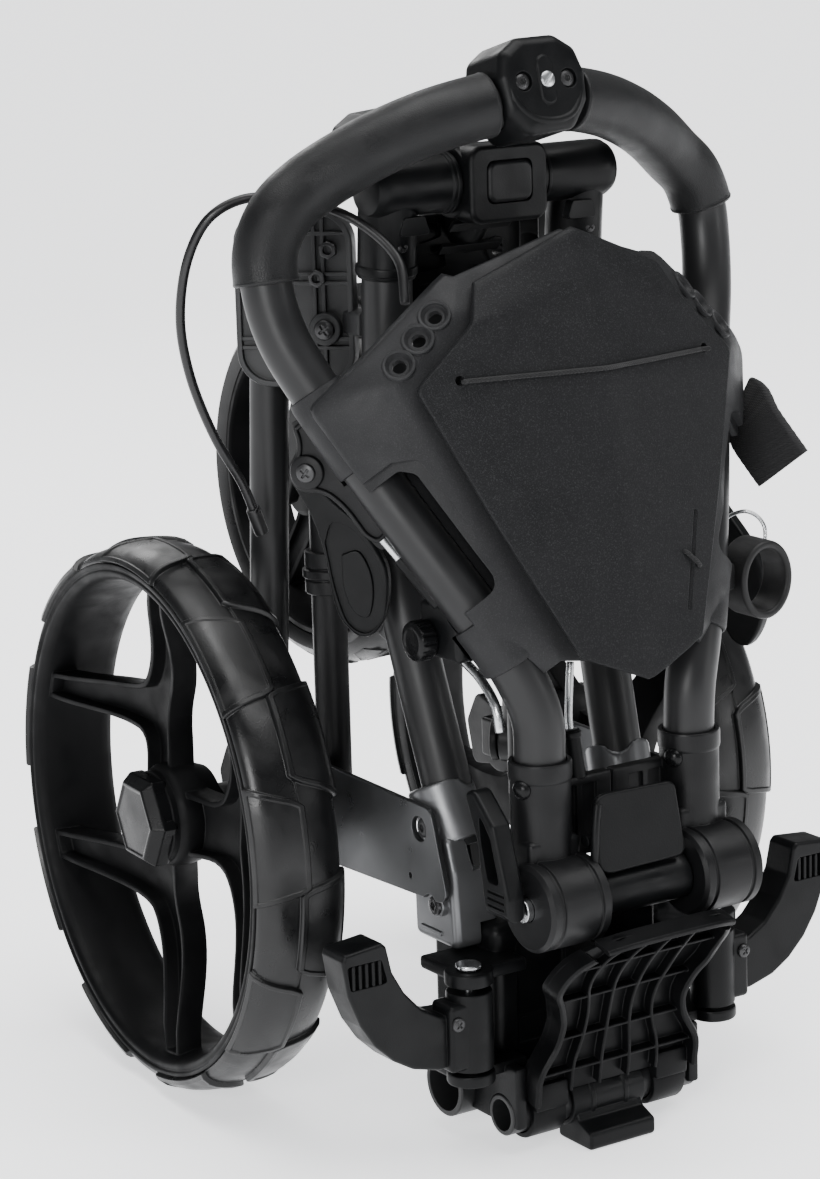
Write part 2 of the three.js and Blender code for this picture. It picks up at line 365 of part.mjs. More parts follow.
let con;
{
  const f = [[0, -190, 452], [0, -205, 387], [0, -219, 318], [0, -234, 250],                       // 0-3 ridge line
    [-62, -172, 440], [-73, -183, 421], [-100, -184, 388], [-71, -208, 320], [-40, -229, 256],    // 4-8 crease
    [-70, -166, 441], [-116, -158, 394], [-130, -151, 377], [-119, -166, 352], [-89, -197, 296], [-72, -211, 266], [-48, -218, 248]]; // 9-15 back edge
  const F0 = f.map((p, i) => i < 9 ? [p[0], p[1] + 4, p[2]] : p);
  const F = [...F0, ...F0.slice(4).map(mx)];
  const half = (o) => { const i = k => k < 4 ? k : k + o;
    return [[0, 4, 5], [0, 5, 1], [1, 5, 6], [1, 6, 2], [2, 6, 7], [2, 7, 3], [3, 7, 8],
      [4, 9, 5], [5, 9, 10], [5, 10, 6], [6, 10, 11], [6, 11, 12], [6, 12, 7], [7, 12, 13], [7, 13, 14], [7, 14, 8], [8, 14, 15]].map(t => t.map(i)); };
  const T = [...half(0), ...half(12).map(([a, b, c]) => [a, c, b])];
  const off = F.map((p, i) => { const e = (i > 8 && i < 16) || i > 20, k = e ? 5 : 1.6; return [p[0] < -1 ? k : p[0] > 1 ? -k : 0, e ? 9 : 3.2, 0]; });
  con = sheet(F, T, off);
}
const win = (s) => {               // hand window, open to the outer edge, along the tube
  const n = V(s * 0.62, -0.78, 0.1), u = V(s * 0.4, 0.44, 0.8), w = n.clone().cross(u);
  return prism([[-36, -17], [30, -17], [36, -11], [36, 40], [-36, 40]].map(([p, q]) => [p, -s * q]), 44, [s * 84, -180, 311], u.toArray(), w.toArray());
};
con = cut(con, win(-1), win(1));
const channels = (r) => [-1, 1].flatMap(s => [[0.17, 0.25], [0.455, 0.565]].map(([a, b]) => sweep(sub(s < 0 ? loopL : loopL.map(mx), a, b, 2), r, 8, 2)));
con = cut(join(con, ...channels(15.6)), loopClear);
for (const s of [-1, 1]) for (const h of [[-88, -180, 424], [-96, -178, 414], [-104, -174, 403]]) con = cut(con, cyl([s * (Math.abs(h[0]) + 12), h[1] - 16, h[2]], [s * (Math.abs(h[0]) - 12), h[1] + 16, h[2]], 3.2, 8));
put('console', largest(con), 'console');


// ---------------------------------------------------------------- brackets, bag arms, straps, cable, tension rod
{
  const P = [[-129, -136, 371], [-133, -124, 366], [-130, -114, 352], [-122, -110, 338], [-113, -113, 328], [-103, -130, 312], [-90, -148, 298], [-86, -160, 296], [-104, -150, 330]];
  const c = [-112, -131, 334];
  let b = sheet([c, ...P], P.map((_, i) => [0, 1 + i, 1 + (i + 1) % P.length]), [3.2, 2.6, 0]);
  b = cut(b, loopClear, ...channels(16));
  pair('arm_bracket', largest(b), 'cast');
}
const ARM_P = [-105.2, -108.2, 338];
let bagL = join(prism([[-5, 6], [-7, -4], [1, -20], [7, -38], [11, -62], [15, -75], [24, -84.5], [30, -85], [37, -79], [41, -67], [40, -49], [37, -38], [30, -26], [16, -16], [8, -8], [6, 4]], 8, ARM_P, D, [0, 0, 1]), cyl(along(ARM_P, -4), along(ARM_P, 6), 7, 14));
bagL = cut(bagL, sheet([[-112, -131, 334], [-129, -136, 371], [-133, -124, 366], [-130, -114, 352], [-122, -110, 338], [-113, -113, 328], [-103, -130, 312], [-90, -148, 298], [-86, -160, 296], [-104, -150, 330]].map(p => [p[0] - 2, p[1] - 1.6, p[2]]), [1, 2, 3, 4, 5, 6, 7, 8, 9].map((k, i) => [0, k, 1 + (i + 1) % 9]), [6.6, 5.4, 0]));
put('bag_arm_left', largest(bagL), 'plastic');
const D2 = [0.35, -0.937, 0];
put('bag_arm_right', join(prism([[-6, 6], [-7, -6], [4, -34], [14, -62], [24, -88], [31, -106], [38, -117], [46, -119], [53, -111], [57, -98], [56, -80], [48, -64], [30, -42], [15, -20], [7, -4], [6, 5]], 8, [124, -99, 338], D2, [0, 0, 1]), cyl([119, -101.5, 338], [128, -97, 338], 7, 14)), 'plastic');
put('strap_tab', sheet([[125, -155, 366], [124, -155, 331], [136, -186, 324], [117, -188, 318], [121, -172, 345]].map((p, i) => p),
  [[0, 1, 4], [1, 3, 4], [3, 2, 4], [2, 0, 4]], [6.5, 2, 0]), 'web');
{
  const o = [], q = []; for (let i = 0; i < 16; i++) { const t = i * Math.PI / 8; o.push([20.5 * Math.cos(t), 20 * Math.sin(t)]); q.push([14 * Math.cos(t), 14 * Math.sin(t)]); }
  put('strap_ring', largest(cut(join(cut(prism(o, 20, [108.5, -190, 268], [1, 0, 0], [0, 0, 1]), prism(q, 30, [107, -190, 269], [1, 0, 0], [0, 0, 1])), box([83, -189, 272], [14, 10, 14])), ...channels(16), loopClear)), 'rubber');
}
const rodPath = [[-83, -158, 302], [-73, -163, 286], [-66, -170, 266], [-63, -174, 252], [-61, -187, 243], [-62, -201, 232], [-62, -204, 220]];
put('tension_rod', sweep(rodPath, 2.4, 8, 12), 'steel');
put('tension_clamp', cut(box([-68, -177, 267], [20, 33, 27]), ...channels(16), loopClear, sweep(rodPath, 2.4 + GAP, 8, 12), cyl([-90, -169, 262], [-70, -169, 262], 2.5 + GAP, 10)), 'plastic');
put('tension_knob', join(lathe([[0, 0], [8, 0], [10, 3], [10, 7], [7, 9.5], [0, 10]], 12, [-78.4, -169, 262], [-1, 0, 0]), cyl([-72, -169, 262], [-79, -169, 262], 2.5, 10)), 'cap');
const cable = [[-74, -151, 421], [-71, -141, 441], [-82, -122, 459], [-100, -100, 468], [-121, -86, 470], [-136, -78, 462], [-144, -70, 444], [-146, -62, 414], [-139, -56, 384], [-124, -52, 350], [-108, -50, 324], [-101, -49, 308]];
put('brake_cable', join(sweep(cable, 2.4, 6, 28), cyl([-102.3, -49.2, 311], [-97, -48.5, 297], 3.6, 10)), 'rubber');
put('elastic_cord', sweep([[-72, -197.6, 389], [-40, -205.2, 389.6], [-4, -213.7, 390], [4, -213.7, 390], [40, -205.2, 389.6], [72, -197.6, 389]], 1.2, 8, 10), 'web');
put('clamp_screw', cyl([0, -170.2, 519.6], [0, -172.4, 520.2], 5, 12), 'steel');

export default group;
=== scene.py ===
import bpy, bmesh, math
import numpy as np
from mathutils import Vector, Matrix, Quaternion


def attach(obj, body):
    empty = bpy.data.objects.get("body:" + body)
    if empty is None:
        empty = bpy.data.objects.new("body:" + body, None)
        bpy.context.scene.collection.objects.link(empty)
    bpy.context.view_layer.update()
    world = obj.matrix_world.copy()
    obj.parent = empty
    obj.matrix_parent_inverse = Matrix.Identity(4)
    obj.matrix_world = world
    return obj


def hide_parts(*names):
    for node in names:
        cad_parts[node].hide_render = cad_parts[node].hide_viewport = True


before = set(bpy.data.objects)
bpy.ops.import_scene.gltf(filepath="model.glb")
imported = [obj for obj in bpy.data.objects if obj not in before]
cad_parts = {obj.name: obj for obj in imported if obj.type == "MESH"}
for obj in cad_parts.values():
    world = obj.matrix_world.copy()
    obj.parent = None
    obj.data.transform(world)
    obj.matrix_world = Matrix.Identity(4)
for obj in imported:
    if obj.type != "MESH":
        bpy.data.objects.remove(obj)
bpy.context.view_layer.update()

SY = 59.0                                    # the CAD group's own shift along Y, mm

# ------------------------------------------------------------------ camera
cam_data = bpy.data.cameras.new("camera")
cam = bpy.data.objects.new("camera", cam_data)
bpy.context.scene.collection.objects.link(cam)
right = Vector((0.8334645, -0.5518098, -0.0290328))
up = Vector((0.1463335, 0.1697496, 0.9745623))
back = Vector((-0.5328447, -0.8165115, 0.2222285))
m = Matrix.Identity(4)
for i, c in enumerate((right, up, back)):
    for k in range(3):
        m[k][i] = c[k]
m.translation = Vector((-0.9362, -1.4689 + SY / 1000, 0.6415))
cam.matrix_world = m
cam_data.lens = 102.29
cam_data.sensor_width = 36
cam_data.clip_start = 0.05
cam_data.clip_end = 100
bpy.context.scene.camera = cam

# ------------------------------------------------------------------ materials
MATS = {}


def material(name, base, rough=0.5, metal=0.0, grain=0.15, scale=1400.0, kind="plastic", var=0.18, spec=0.5, coat=0.0, sheen=0.0, edge=0.35, rvar=0.12):
    mt = bpy.data.materials.new(name)
    mt.use_nodes = True
    nt = mt.node_tree
    N, L = nt.nodes, nt.links
    b = N["Principled BSDF"]
    b.inputs["Metallic"].default_value = metal
    b.inputs["Specular IOR Level"].default_value = spec
    if coat:
        b.inputs["Coat Weight"].default_value = coat
        b.inputs["Coat Roughness"].default_value = 0.25
    if sheen:
        b.inputs["Sheen Weight"].default_value = sheen
        b.inputs["Sheen Roughness"].default_value = 0.5
    tc = N.new("ShaderNodeTexCoord")

    def noise(s, det=3.0, dist=0.0, vec=None):
        n = N.new("ShaderNodeTexNoise")
        n.inputs["Scale"].default_value = s
        n.inputs["Detail"].default_value = det
        n.inputs["Distortion"].default_value = dist
        L.new(vec or tc.outputs["Object"], n.inputs["Vector"])
        return n.outputs["Fac"]

    def ramp(src, a, bb, ca, cb):
        r = N.new("ShaderNodeMapRange")
        r.inputs["From Min"].default_value = a
        r.inputs["From Max"].default_value = bb
        r.inputs["To Min"].default_value = ca
        r.inputs["To Max"].default_value = cb
        L.new(src, r.inputs["Value"])
        return r.outputs["Result"]

    def mixc(f, c1, c2):
        x = N.new("ShaderNodeMix")
        x.data_type = "RGBA"
        for k, c in ((6, c1), (7, c2)):
            if isinstance(c, tuple):
                x.inputs[k].default_value = (*c, 1)
            else:
                L.new(c, x.inputs[k])
        L.new(f, x.inputs[0])
        return x.outputs[2]

    base = np.array(base)
    lo, hi = tuple(base * (1 - var)), tuple(base * (1 + var))
    col = mixc(ramp(noise(22, 4, 0.6), 0.35, 0.65, 0, 1), lo, hi)
    fine = noise(scale, 2)
    if kind in ("speckle", "console"):
        k = 0.55 if kind == "speckle" else 0.28
        col = mixc(ramp(fine, 0.52, 0.72, 0, k), col, tuple(base * 2.6 + 0.01))
    bv = N.new("ShaderNodeBevel")
    bv.samples = 4
    bv.inputs["Radius"].default_value = 0.0007
    geo = N.new("ShaderNodeNewGeometry")
    if edge:
        dp = N.new("ShaderNodeVectorMath")
        dp.operation = "DOT_PRODUCT"
        L.new(bv.outputs["Normal"], dp.inputs[0])
        L.new(geo.outputs["Normal"], dp.inputs[1])
        wear = ramp(dp.outputs["Value"], 0.99, 0.86, 0, 1)
        brk = ramp(noise(260, 3), 0.35, 0.7, 0.1, 1)
        mu = N.new("ShaderNodeMath")
        mu.operation = "MULTIPLY"
        L.new(wear, mu.inputs[0])
        L.new(brk, mu.inputs[1])
        mu2 = N.new("ShaderNodeMath")
        mu2.operation = "MULTIPLY"
        L.new(mu.outputs[0], mu2.inputs[0])
        mu2.inputs[1].default_value = edge
        col = mixc(mu2.outputs[0], col, tuple(np.minimum(base * 2.4 + 0.03, 1)))
    L.new(col, b.inputs["Base Color"])
    L.new(ramp(noise(60, 5, 0.4), 0.3, 0.7, max(rough - rvar, 0.05), min(rough + rvar, 1)), b.inputs["Roughness"])
    bump = N.new("ShaderNodeBump")
    bump.inputs["Strength"].default_value = grain
    bump.inputs["Distance"].default_value = 0.0004
    L.new(bv.outputs["Normal"], bump.inputs["Normal"])
    h = fine
    if kind == "leather":
        v = N.new("ShaderNodeTexVoronoi")
        v.feature = "DISTANCE_TO_EDGE"
        v.inputs["Scale"].default_value = scale
        dv = N.new("ShaderNodeVectorMath")
        dv.operation = "MULTIPLY_ADD"
        nz = N.new("ShaderNodeTexNoise")
        nz.inputs["Scale"].default_value = scale * 0.7
        L.new(tc.outputs["Object"], nz.inputs["Vector"])
        L.new(nz.outputs["Color"], dv.inputs[0])
        dv.inputs[1].default_value = (0.0011, 0.0011, 0.0011)
        L.new(tc.outputs["Object"], dv.inputs[2])
        L.new(dv.outputs["Vector"], v.inputs["Vector"])
        h = ramp(v.outputs["Distance"], 0.0, 0.25, 0, 1)
        bump.inputs["Distance"].default_value = 0.0005
    elif kind == "brushed":
        mp = N.new("ShaderNodeMapping")
        mp.inputs["Scale"].default_value = (1, 1, 0.04)
        L.new(tc.outputs["Object"], mp.inputs["Vector"])
        h = noise(2600, 2, 0, mp.outputs["Vector"])
        bump.inputs["Distance"].default_value = 0.0001
    elif kind == "weave":
        w1 = N.new("ShaderNodeTexWave")
        w1.inputs["Scale"].default_value = 260
        w1.bands_direction = "Z"
        w2 = N.new("ShaderNodeTexWave")
        w2.inputs["Scale"].default_value = 420
        w2.bands_direction = "DIAGONAL"
        for w in (w1, w2):
            L.new(tc.outputs["Object"], w.inputs["Vector"])
        ml = N.new("ShaderNodeMath")
        ml.operation = "MULTIPLY"
        L.new(w1.outputs["Fac"], ml.inputs[0])
        L.new(w2.outputs["Fac"], ml.inputs[1])
        h = ml.outputs[0]
    elif kind == "tube":
        bump.inputs["Distance"].default_value = 0.00015
    L.new(h, bump.inputs["Height"])
    L.new(bump.outputs["Normal"], b.inputs["Normal"])
    MATS[name] = mt
    return mt


material("mat_tube", (0.0095, 0.0097, 0.0102), 0.4, 0, 0.1, 1100, "tube", 0.08, 0.26, edge=0.2, rvar=0.05)
material("mat_cast", (0.0042, 0.0043, 0.0047), 0.42, 0, 0.2, 1500, var=0.15, spec=0.18, edge=0.3)
material("mat_satin", (0.12, 0.122, 0.126), 0.34, 0.7, 0.12, 900, "tube", 0.08, 0.5, edge=0.35, rvar=0.05)
material("mat_plate", (0.07, 0.0715, 0.074), 0.32, 0.85, 0.12, 1400, "brushed", 0.08, edge=0.5, rvar=0.05)
material("mat_plastic", (0.0028, 0.003, 0.0033), 0.4, 0, 0.2, 1300, var=0.18, spec=0.13, edge=0.3)
material("mat_bracket", (0.019, 0.0194, 0.0202), 0.46, 0, 0.2, 1300, var=0.12, spec=0.25, edge=0.3)
material("mat_foot", (0.0026, 0.0027, 0.003), 0.42, 0, 0.2, 1300, var=0.15, spec=0.1, edge=0.5)
material("mat_console", (0.0135, 0.0137, 0.0145), 0.5, 0, 0.3, 1700, "console", 0.06, 0.14, edge=0.2)
material("mat_cover", (0.0078, 0.008, 0.0086), 0.52, 0, 0.36, 1500, "speckle", 0.07, 0.1, edge=0.35)
material("mat_tyre", (0.0033, 0.0034, 0.0037), 0.34, 0, 0.14, 1100, var=0.15, spec=0.32, edge=0.25)
material("mat_rim", (0.0026, 0.0027, 0.003), 0.5, 0, 0.15, 1300, var=0.15, spec=0.1, edge=0.3)
material("mat_rubber", (0.007, 0.007, 0.0073), 0.5, 0, 0.2, 1200, var=0.15, spec=0.2, sheen=0.03, edge=0.2)
material("mat_grip", (0.005, 0.0052, 0.0056), 0.42, 0, 0.2, 980, "leather", 0.1, 0.2, sheen=0.02, edge=0.15)
material("mat_steel", (0.5, 0.51, 0.52), 0.24, 1, 0.2, 1400, "brushed", 0.06, edge=0.0, rvar=0.08)
material("mat_black_steel", (0.03, 0.03, 0.031), 0.3, 0.6, 0.12, 1400, "tube", 0.1, edge=0.6)
material("mat_cap", (0.0036, 0.0037, 0.004), 0.28, 0, 0.1, 1200, var=0.12, spec=0.14, edge=0.3)
material("mat_web", (0.0085, 0.0085, 0.009), 0.75, 0, 0.8, 900, "weave", 0.2, 0.2, sheen=0.05, edge=0.0)
material("mat_cable", (0.005, 0.005, 0.0055), 0.3, 0, 0.1, 900, var=0.1, spec=0.35, edge=0.0)

# ------------------------------------------------------------------ solids (design millimetres)


def V(*a):
    return Vector(a)


def mesh_of(bm):
    bmesh.ops.recalc_face_normals(bm, faces=bm.faces)
    me = bpy.data.meshes.new("part")
    bm.to_mesh(me)
    bm.free()
    return me


def bevel(bm, w, seg=2, ang=28):
    if w <= 0:
        return
    bm.normal_update()
    es = [e for e in bm.edges if len(e.link_faces) == 2 and e.calc_face_angle(0) > math.radians(ang)]
    if es:
        bmesh.ops.bevel(bm, geom=es, offset=w, offset_type="OFFSET", segments=seg, profile=0.5, affect="EDGES", clamp_overlap=True)


def prism(pts, d, o, ex, ey, bv=0.8, seg=2, ang=28):
    X = Vector(ex).normalized()
    Z = X.cross(Vector(ey)).normalized()
    Y = Z.cross(X)
    O = Vector(o) - Z * (d / 2)
    area = sum(pts[i][0] * pts[(i + 1) % len(pts)][1] - pts[(i + 1) % len(pts)][0] * pts[i][1] for i in range(len(pts)))
    if area < 0:
        pts = pts[::-1]
    bm = bmesh.new()
    lo = [bm.verts.new(O + X * p[0] + Y * p[1]) for p in pts]
    hi = [bm.verts.new(O + X * p[0] + Y * p[1] + Z * d) for p in pts]
    n = len(pts)
    bm.faces.new(lo[::-1])
    bm.faces.new(hi)
    for i in range(n):
        j = (i + 1) % n
        bm.faces.new((lo[i], lo[j], hi[j], hi[i]))
    bevel(bm, bv, seg, ang)
    return mesh_of(bm)


def fillet(pts, r, n=5):
    """outline with its corners rounded; r is a number or one per corner"""
    out = []
    k = len(pts)
    for i in range(k):
        p, a, b = Vector(pts[i]).to_2d(), Vector(pts[i - 1]).to_2d(), Vector(pts[(i + 1) % k]).to_2d()
        rr = r[i] if isinstance(r, (list, tuple)) else r
        u, w = (a - p), (b - p)
        lu, lw = u.length, w.length
        u.normalize(); w.normalize()
        ang = math.acos(max(-1, min(1, u.dot(w))))
        if rr <= 0 or ang > math.radians(172):
            out.append((p.x, p.y)); continue
        t = min(rr / math.tan(ang / 2), lu * 0.48, lw * 0.48)
        A, B = p + u * t, p + w * t
        for q in range(n + 1):
            s = q / n
            z = A * (1 - s) ** 2 + p * 2 * s * (1 - s) + B * s * s
            out.append((z.x, z.y))
    return out


def rounded(w, h, r, n=5):
    o = []
    for cx, cy, a0 in ((w / 2 - r, h / 2 - r, 0), (-w / 2 + r, h / 2 - r, 90), (-w / 2 + r, -h / 2 + r, 180), (w / 2 - r, -h / 2 + r, 270)):
        for i in range(n + 1):
            t = math.radians(a0 + 90 * i / n)
            o.append((cx + r * math.cos(t), cy + r * math.sin(t)))
    return o


def ring(r, n=32, ry=None):
    return [(r * math.cos(2 * math.pi * i / n), (ry or r) * math.sin(2 * math.pi * i / n)) for i in range(n)]


def box(c, s, rot=(0, 0, 0), bv=1.0, seg=2):
    bm = bmesh.new()
    bmesh.ops.create_cube(bm, size=1)
    from mathutils import Euler
    bmesh.ops.scale(bm, vec=s, verts=bm.verts)
    bevel(bm, min(bv, min(s) * 0.45), seg)
    M = Matrix.Translation(c) @ Euler(rot).to_matrix().to_4x4()
    bmesh.ops.transform(bm, matrix=M, verts=bm.verts)
    return mesh_of(bm)


def lathe(prof, seg, o, d, closed=False, phase=0.0):
    q = Vector((0, 1, 0)).rotation_difference(Vector(d).normalized())
    O = Vector(o)
    bm = bmesh.new()
    if closed and prof[0] == prof[-1]:
        prof = prof[:-1]
    rings = []
    for r, h in prof:
        if r < 1e-6:
            rings.append([bm.verts.new(O + q @ Vector((0, h, 0)))])
        else:
            rings.append([bm.verts.new(O + q @ Vector((r * math.sin(2 * math.pi * i / seg + phase), h, r * math.cos(2 * math.pi * i / seg + phase)))) for i in range(seg)])
    idx = list(range(len(rings) - 1)) + ([len(rings) - 1] if closed else [])
    for k in idx:
        A, B = rings[k], rings[(k + 1) % len(rings)]
        for i in range(seg):
            j = (i + 1) % seg
            if len(A) == 1 and len(B) == 1:
                continue
            if len(A) == 1:
                bm.faces.new((A[0], B[j], B[i]))
            elif len(B) == 1:
                bm.faces.new((A[i], A[j], B[0]))
            else:
                bm.faces.new((A[i], A[j], B[j], B[i]))
    return mesh_of(bm)


def cyl(a, b, r, bv=0.7, seg=40, r2=None, phase=0.0):
    A, B = Vector(a), Vector(b)
    L = (B - A).length
    r2 = r if r2 is None else r2
    bv = min(bv, L * 0.4, min(r, r2) * 0.5)
    if bv > 0:
        k = bv * 0.3
        prof = [(0, 0), (r - bv, 0), (r - k, k), (r, bv), (r2, L - bv), (r2 - k, L - k), (r2 - bv, L), (0, L)]
    else:
        prof = [(0, 0), (r, 0), (r2, L), (0, L)]
    return lathe(prof, seg, a, B - A, phase=phase)


def catmull(pts, n, closed=False):
    P = [Vector(p) for p in pts]
    ext = [P[0] * 2 - P[1]] + P + [P[-1] * 2 - P[-2]]
    out = []
    for i in range(1, len(ext) - 2):
        p0, p1, p2, p3 = ext[i - 1], ext[i], ext[i + 1], ext[i + 2]
        t0 = 0; t1 = t0 + max((p1 - p0).length, 1e-6) ** 0.5; t2 = t1 + max((p2 - p1).length, 1e-6) ** 0.5; t3 = t2 + max((p3 - p2).length, 1e-6) ** 0.5
        for k in range(12):
            t = t1 + (t2 - t1) * k / 12
            A1 = p0 * ((t1 - t) / (t1 - t0)) + p1 * ((t - t0) / (t1 - t0))
            A2 = p1 * ((t2 - t) / (t2 - t1)) + p2 * ((t - t1) / (t2 - t1))
            A3 = p2 * ((t3 - t) / (t3 - t2)) + p3 * ((t - t2) / (t3 - t2))
            B1 = A1 * ((t2 - t) / (t2 - t0)) + A2 * ((t - t0) / (t2 - t0))
            B2 = A2 * ((t3 - t) / (t3 - t1)) + A3 * ((t - t1) / (t3 - t1))
            out.append(B1 * ((t2 - t) / (t2 - t1)) + B2 * ((t - t1) / (t2 - t1)))
    out.append(P[-1])
    d = [0.0]
    for a, b in zip(out, out[1:]):
        d.append(d[-1] + (b - a).length)
    res = []
    for k in range(n + 1):
        s = d[-1] * k / n
        i = min(max(np.searchsorted(d, s) - 1, 0), len(out) - 2)
        f = (s - d[i]) / max(d[i + 1] - d[i], 1e-9)
        res.append(out[i].lerp(out[i + 1], min(max(f, 0), 1)))
    return res


def loft(rings, cap=True, loop=False):
    bm = bmesh.new()
    R = [[bm.verts.new(p) for p in rr] for rr in rings]
    n = len(R[0])
    for a, b in list(zip(R, R[1:])) + ([(R[-1], R[0])] if loop else []):
        for i in range(n):
            j = (i + 1) % n
            bm.faces.new((a[i], a[j], b[j], b[i]))
    if cap and not loop:
        bm.faces.new(R[0][::-1])
        bm.faces.new(R[-1])
    return mesh_of(bm)


def sweep(pts, r, seg=28, n=60, section=None, upv=None, scale=None, cap=0.8, raw=False):
    """tube or other section along a smooth path; scale(t) widens it"""
    P = pts if raw else catmull(pts, n)
    P = [Vector(p) for p in P]
    n = len(P) - 1
    T = [(P[min(i + 1, n)] - P[max(i - 1, 0)]).normalized() for i in range(n + 1)]
    u = Vector(upv) if upv else (Vector((0, 0, 1)) if abs(T[0].z) < 0.8 else Vector((0, 1, 0)))
    u = (u - T[0] * u.dot(T[0])).normalized()
    sec = section or [(r * math.cos(2 * math.pi * k / seg), r * math.sin(2 * math.pi * k / seg)) for k in range(seg)]
    rings = []
    for i in range(n + 1):
        if i:
            q = T[i - 1].rotation_difference(T[i])
            u = q @ u
            u = (u - T[i] * u.dot(T[i])).normalized()
        w = T[i].cross(u)
        s = scale(i / n) if scale else 1.0
        rings.append([P[i] + u * (a * s) + w * (b * s) for a, b in sec])
    if cap and not section:
        def inset(rr, c, t, k, off):
            return [c + (p - c) * k + t * off for p in rr]
        k = 1 - cap / r
        rings = [inset(rings[0], P[0], T[0], k, 0), inset(rings[0], P[0], T[0], 1 - 0.3 * cap / r, cap * 0.3)] + rings[1:-1] + [inset(rings[-1], P[-1], T[-1], 1 - 0.3 * cap / r, -cap * 0.3), inset(rings[-1], P[-1], T[-1], k, 0)]
    return loft(rings)


def sheetm(front, tris, off):
    """thick skin: front vertices, faces, offset of the back skin"""
    n = len(front)
    offs = [off] * n if isinstance(off[0], (int, float)) else off
    bm = bmesh.new()
    A = [bm.verts.new(p) for p in front]
    B = [bm.verts.new((p[0] + o[0], p[1] + o[1], p[2] + o[2])) for p, o in zip(front, offs)]
    edges = {}
    for f in tris:
        bm.faces.new([A[i] for i in f])
        bm.faces.new([B[i] for i in reversed(f)])
        for i in range(len(f)):
            a, b = f[i], f[(i + 1) % len(f)]
            if (b, a) in edges:
                del edges[(b, a)]
            else:
                edges[(a, b)] = 1
    for a, b in edges:
        bm.faces.new((A[b], A[a], B[a], B[b]))
    return mesh_of(bm)


def boolean(a, b, op):
    sc = bpy.context.scene.collection
    oa, ob = bpy.data.objects.new("tmp_a", a), bpy.data.objects.new("tmp_b", b)
    sc.objects.link(oa); sc.objects.link(ob)
    res = None
    for solver in ("MANIFOLD", "EXACT"):
        mod = oa.modifiers.new("b", "BOOLEAN")
        mod.operation = op
        mod.object = ob
        try:
            mod.solver = solver
        except TypeError:
            oa.modifiers.remove(mod)
            continue
        dg = bpy.context.evaluated_depsgraph_get()
        dg.update()
        me = bpy.data.meshes.new_from_object(oa.evaluated_get(dg))
        oa.modifiers.remove(mod)
        bad = len(me.polygons) == 0 or (solver == "MANIFOLD" and op != "UNION" and len(me.vertices) == len(a.vertices) and False)
        if not bad:
            res = me
            break
    bpy.data.objects.remove(oa); bpy.data.objects.remove(ob)
    return res if res is not None else a


def union(*ms):
    r = ms[0]
    for x in ms[1:]:
        r = boolean(r, x, "UNION")
    return r


def cut(a, *ms):
    for x in ms:
        a = boolean(a, x, "DIFFERENCE")
    return a


def both(*ms):
    """loose shells kept as one mesh"""
    bm = bmesh.new()
    for x in ms:
        bm.from_mesh(x)
    me = bpy.data.meshes.new("part")
    bm.to_mesh(me)
    bm.free()
    return me


def mirrored(me):
    c = me.copy()
    c.transform(Matrix.Scale(-1, 4, (1, 0, 0)))
    c.flip_normals()
    return c


def moved(me, M):
    c = me.copy()
    c.transform(M)
    return c


def piece(name, me, mat, body, *nodes, smooth=36, wn=True, slot=None):
    me = me.copy()
    me.transform(Matrix.Translation((0, SY / 1000, 0)) @ Matrix.Scale(0.001, 4))
    bm = bmesh.new()
    bm.from_mesh(me)
    bmesh.ops.remove_doubles(bm, verts=bm.verts, dist=2e-6)
    bmesh.ops.dissolve_degenerate(bm, edges=bm.edges, dist=1e-6)
    bm.normal_update()
    lim = math.radians(smooth)
    for f in bm.faces:
        f.smooth = True
    for e in bm.edges:
        e.smooth = len(e.link_faces) == 2 and e.calc_face_angle(0) < lim
    bm.to_mesh(me)
    bm.free()
    ob = bpy.data.objects.new(name, me)
    bpy.context.scene.collection.objects.link(ob)
    me.materials.clear()
    me.materials.append(MATS[mat])
    if wn:
        w = ob.modifiers.new("wn", "WEIGHTED_NORMAL")
        w.keep_sharp = True
    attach(ob, body)
    if nodes:
        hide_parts(*nodes)
    return ob


def pair(name, me, mat, bodies, nodes=(), **k):
    """left piece and its mirror; nodes are CAD stems"""
    bl, br = bodies if isinstance(bodies, tuple) else (bodies, bodies)
    piece(name + "_l", me, mat, bl, *[n + "_left" for n in nodes], **k)
    piece(name + "_r", mirrored(me), mat, br, *[n + "_right" for n in nodes], **k)


def screw(p, d, r, h=2.2, kind="cross", seg=28):
    """pan head with a cross or hex recess, standing on p along d"""
    D = Vector(d).normalized()
    P = Vector(p)
    head = lathe([(0, -1.2), (r * 0.6, -1.2), (r * 0.6, 0), (r, 0), (r, h * 0.35), (r * 0.9, h * 0.75), (r * 0.62, h), (0, h)], seg, P, D)
    t = D.orthogonal().normalized()
    w = D.cross(t)
    if kind == "cross":
        c1 = prism([(-r * 0.55, -r * 0.12), (r * 0.55, -r * 0.12), (r * 0.55, r * 0.12), (-r * 0.55, r * 0.12)], h, P + D * (h * 1.0), t, w, 0)
        c2 = prism([(-r * 0.12, -r * 0.55), (r * 0.12, -r * 0.55), (r * 0.12, r * 0.55), (-r * 0.12, r * 0.55)], h, P + D * (h * 1.0), t, w, 0)
        return cut(head, c1, c2)
    if kind == "slot":
        return cut(head, prism([(-r * 1.2, -r * 0.14), (r * 1.2, -r * 0.14), (r * 1.2, r * 0.14), (-r * 1.2, r * 0.14)], h, P + D * (h * 1.0), t, w, 0))
    return cut(head, prism(ring(r * 0.45, 6), h * 1.4, P + D * (h * 1.0), t, w, 0))


def nut(p, d, r, h):
    D = Vector(d).normalized()
    t = D.orthogonal().normalized()
    P = Vector(p)
    n = prism(ring(r, 6), h, P + D * (h / 2), t, D.cross(t), 0.4)
    return cut(n, cyl(P + D * (h * 0.35), P + D * (h + 2), r * 0.5, 0, 20))


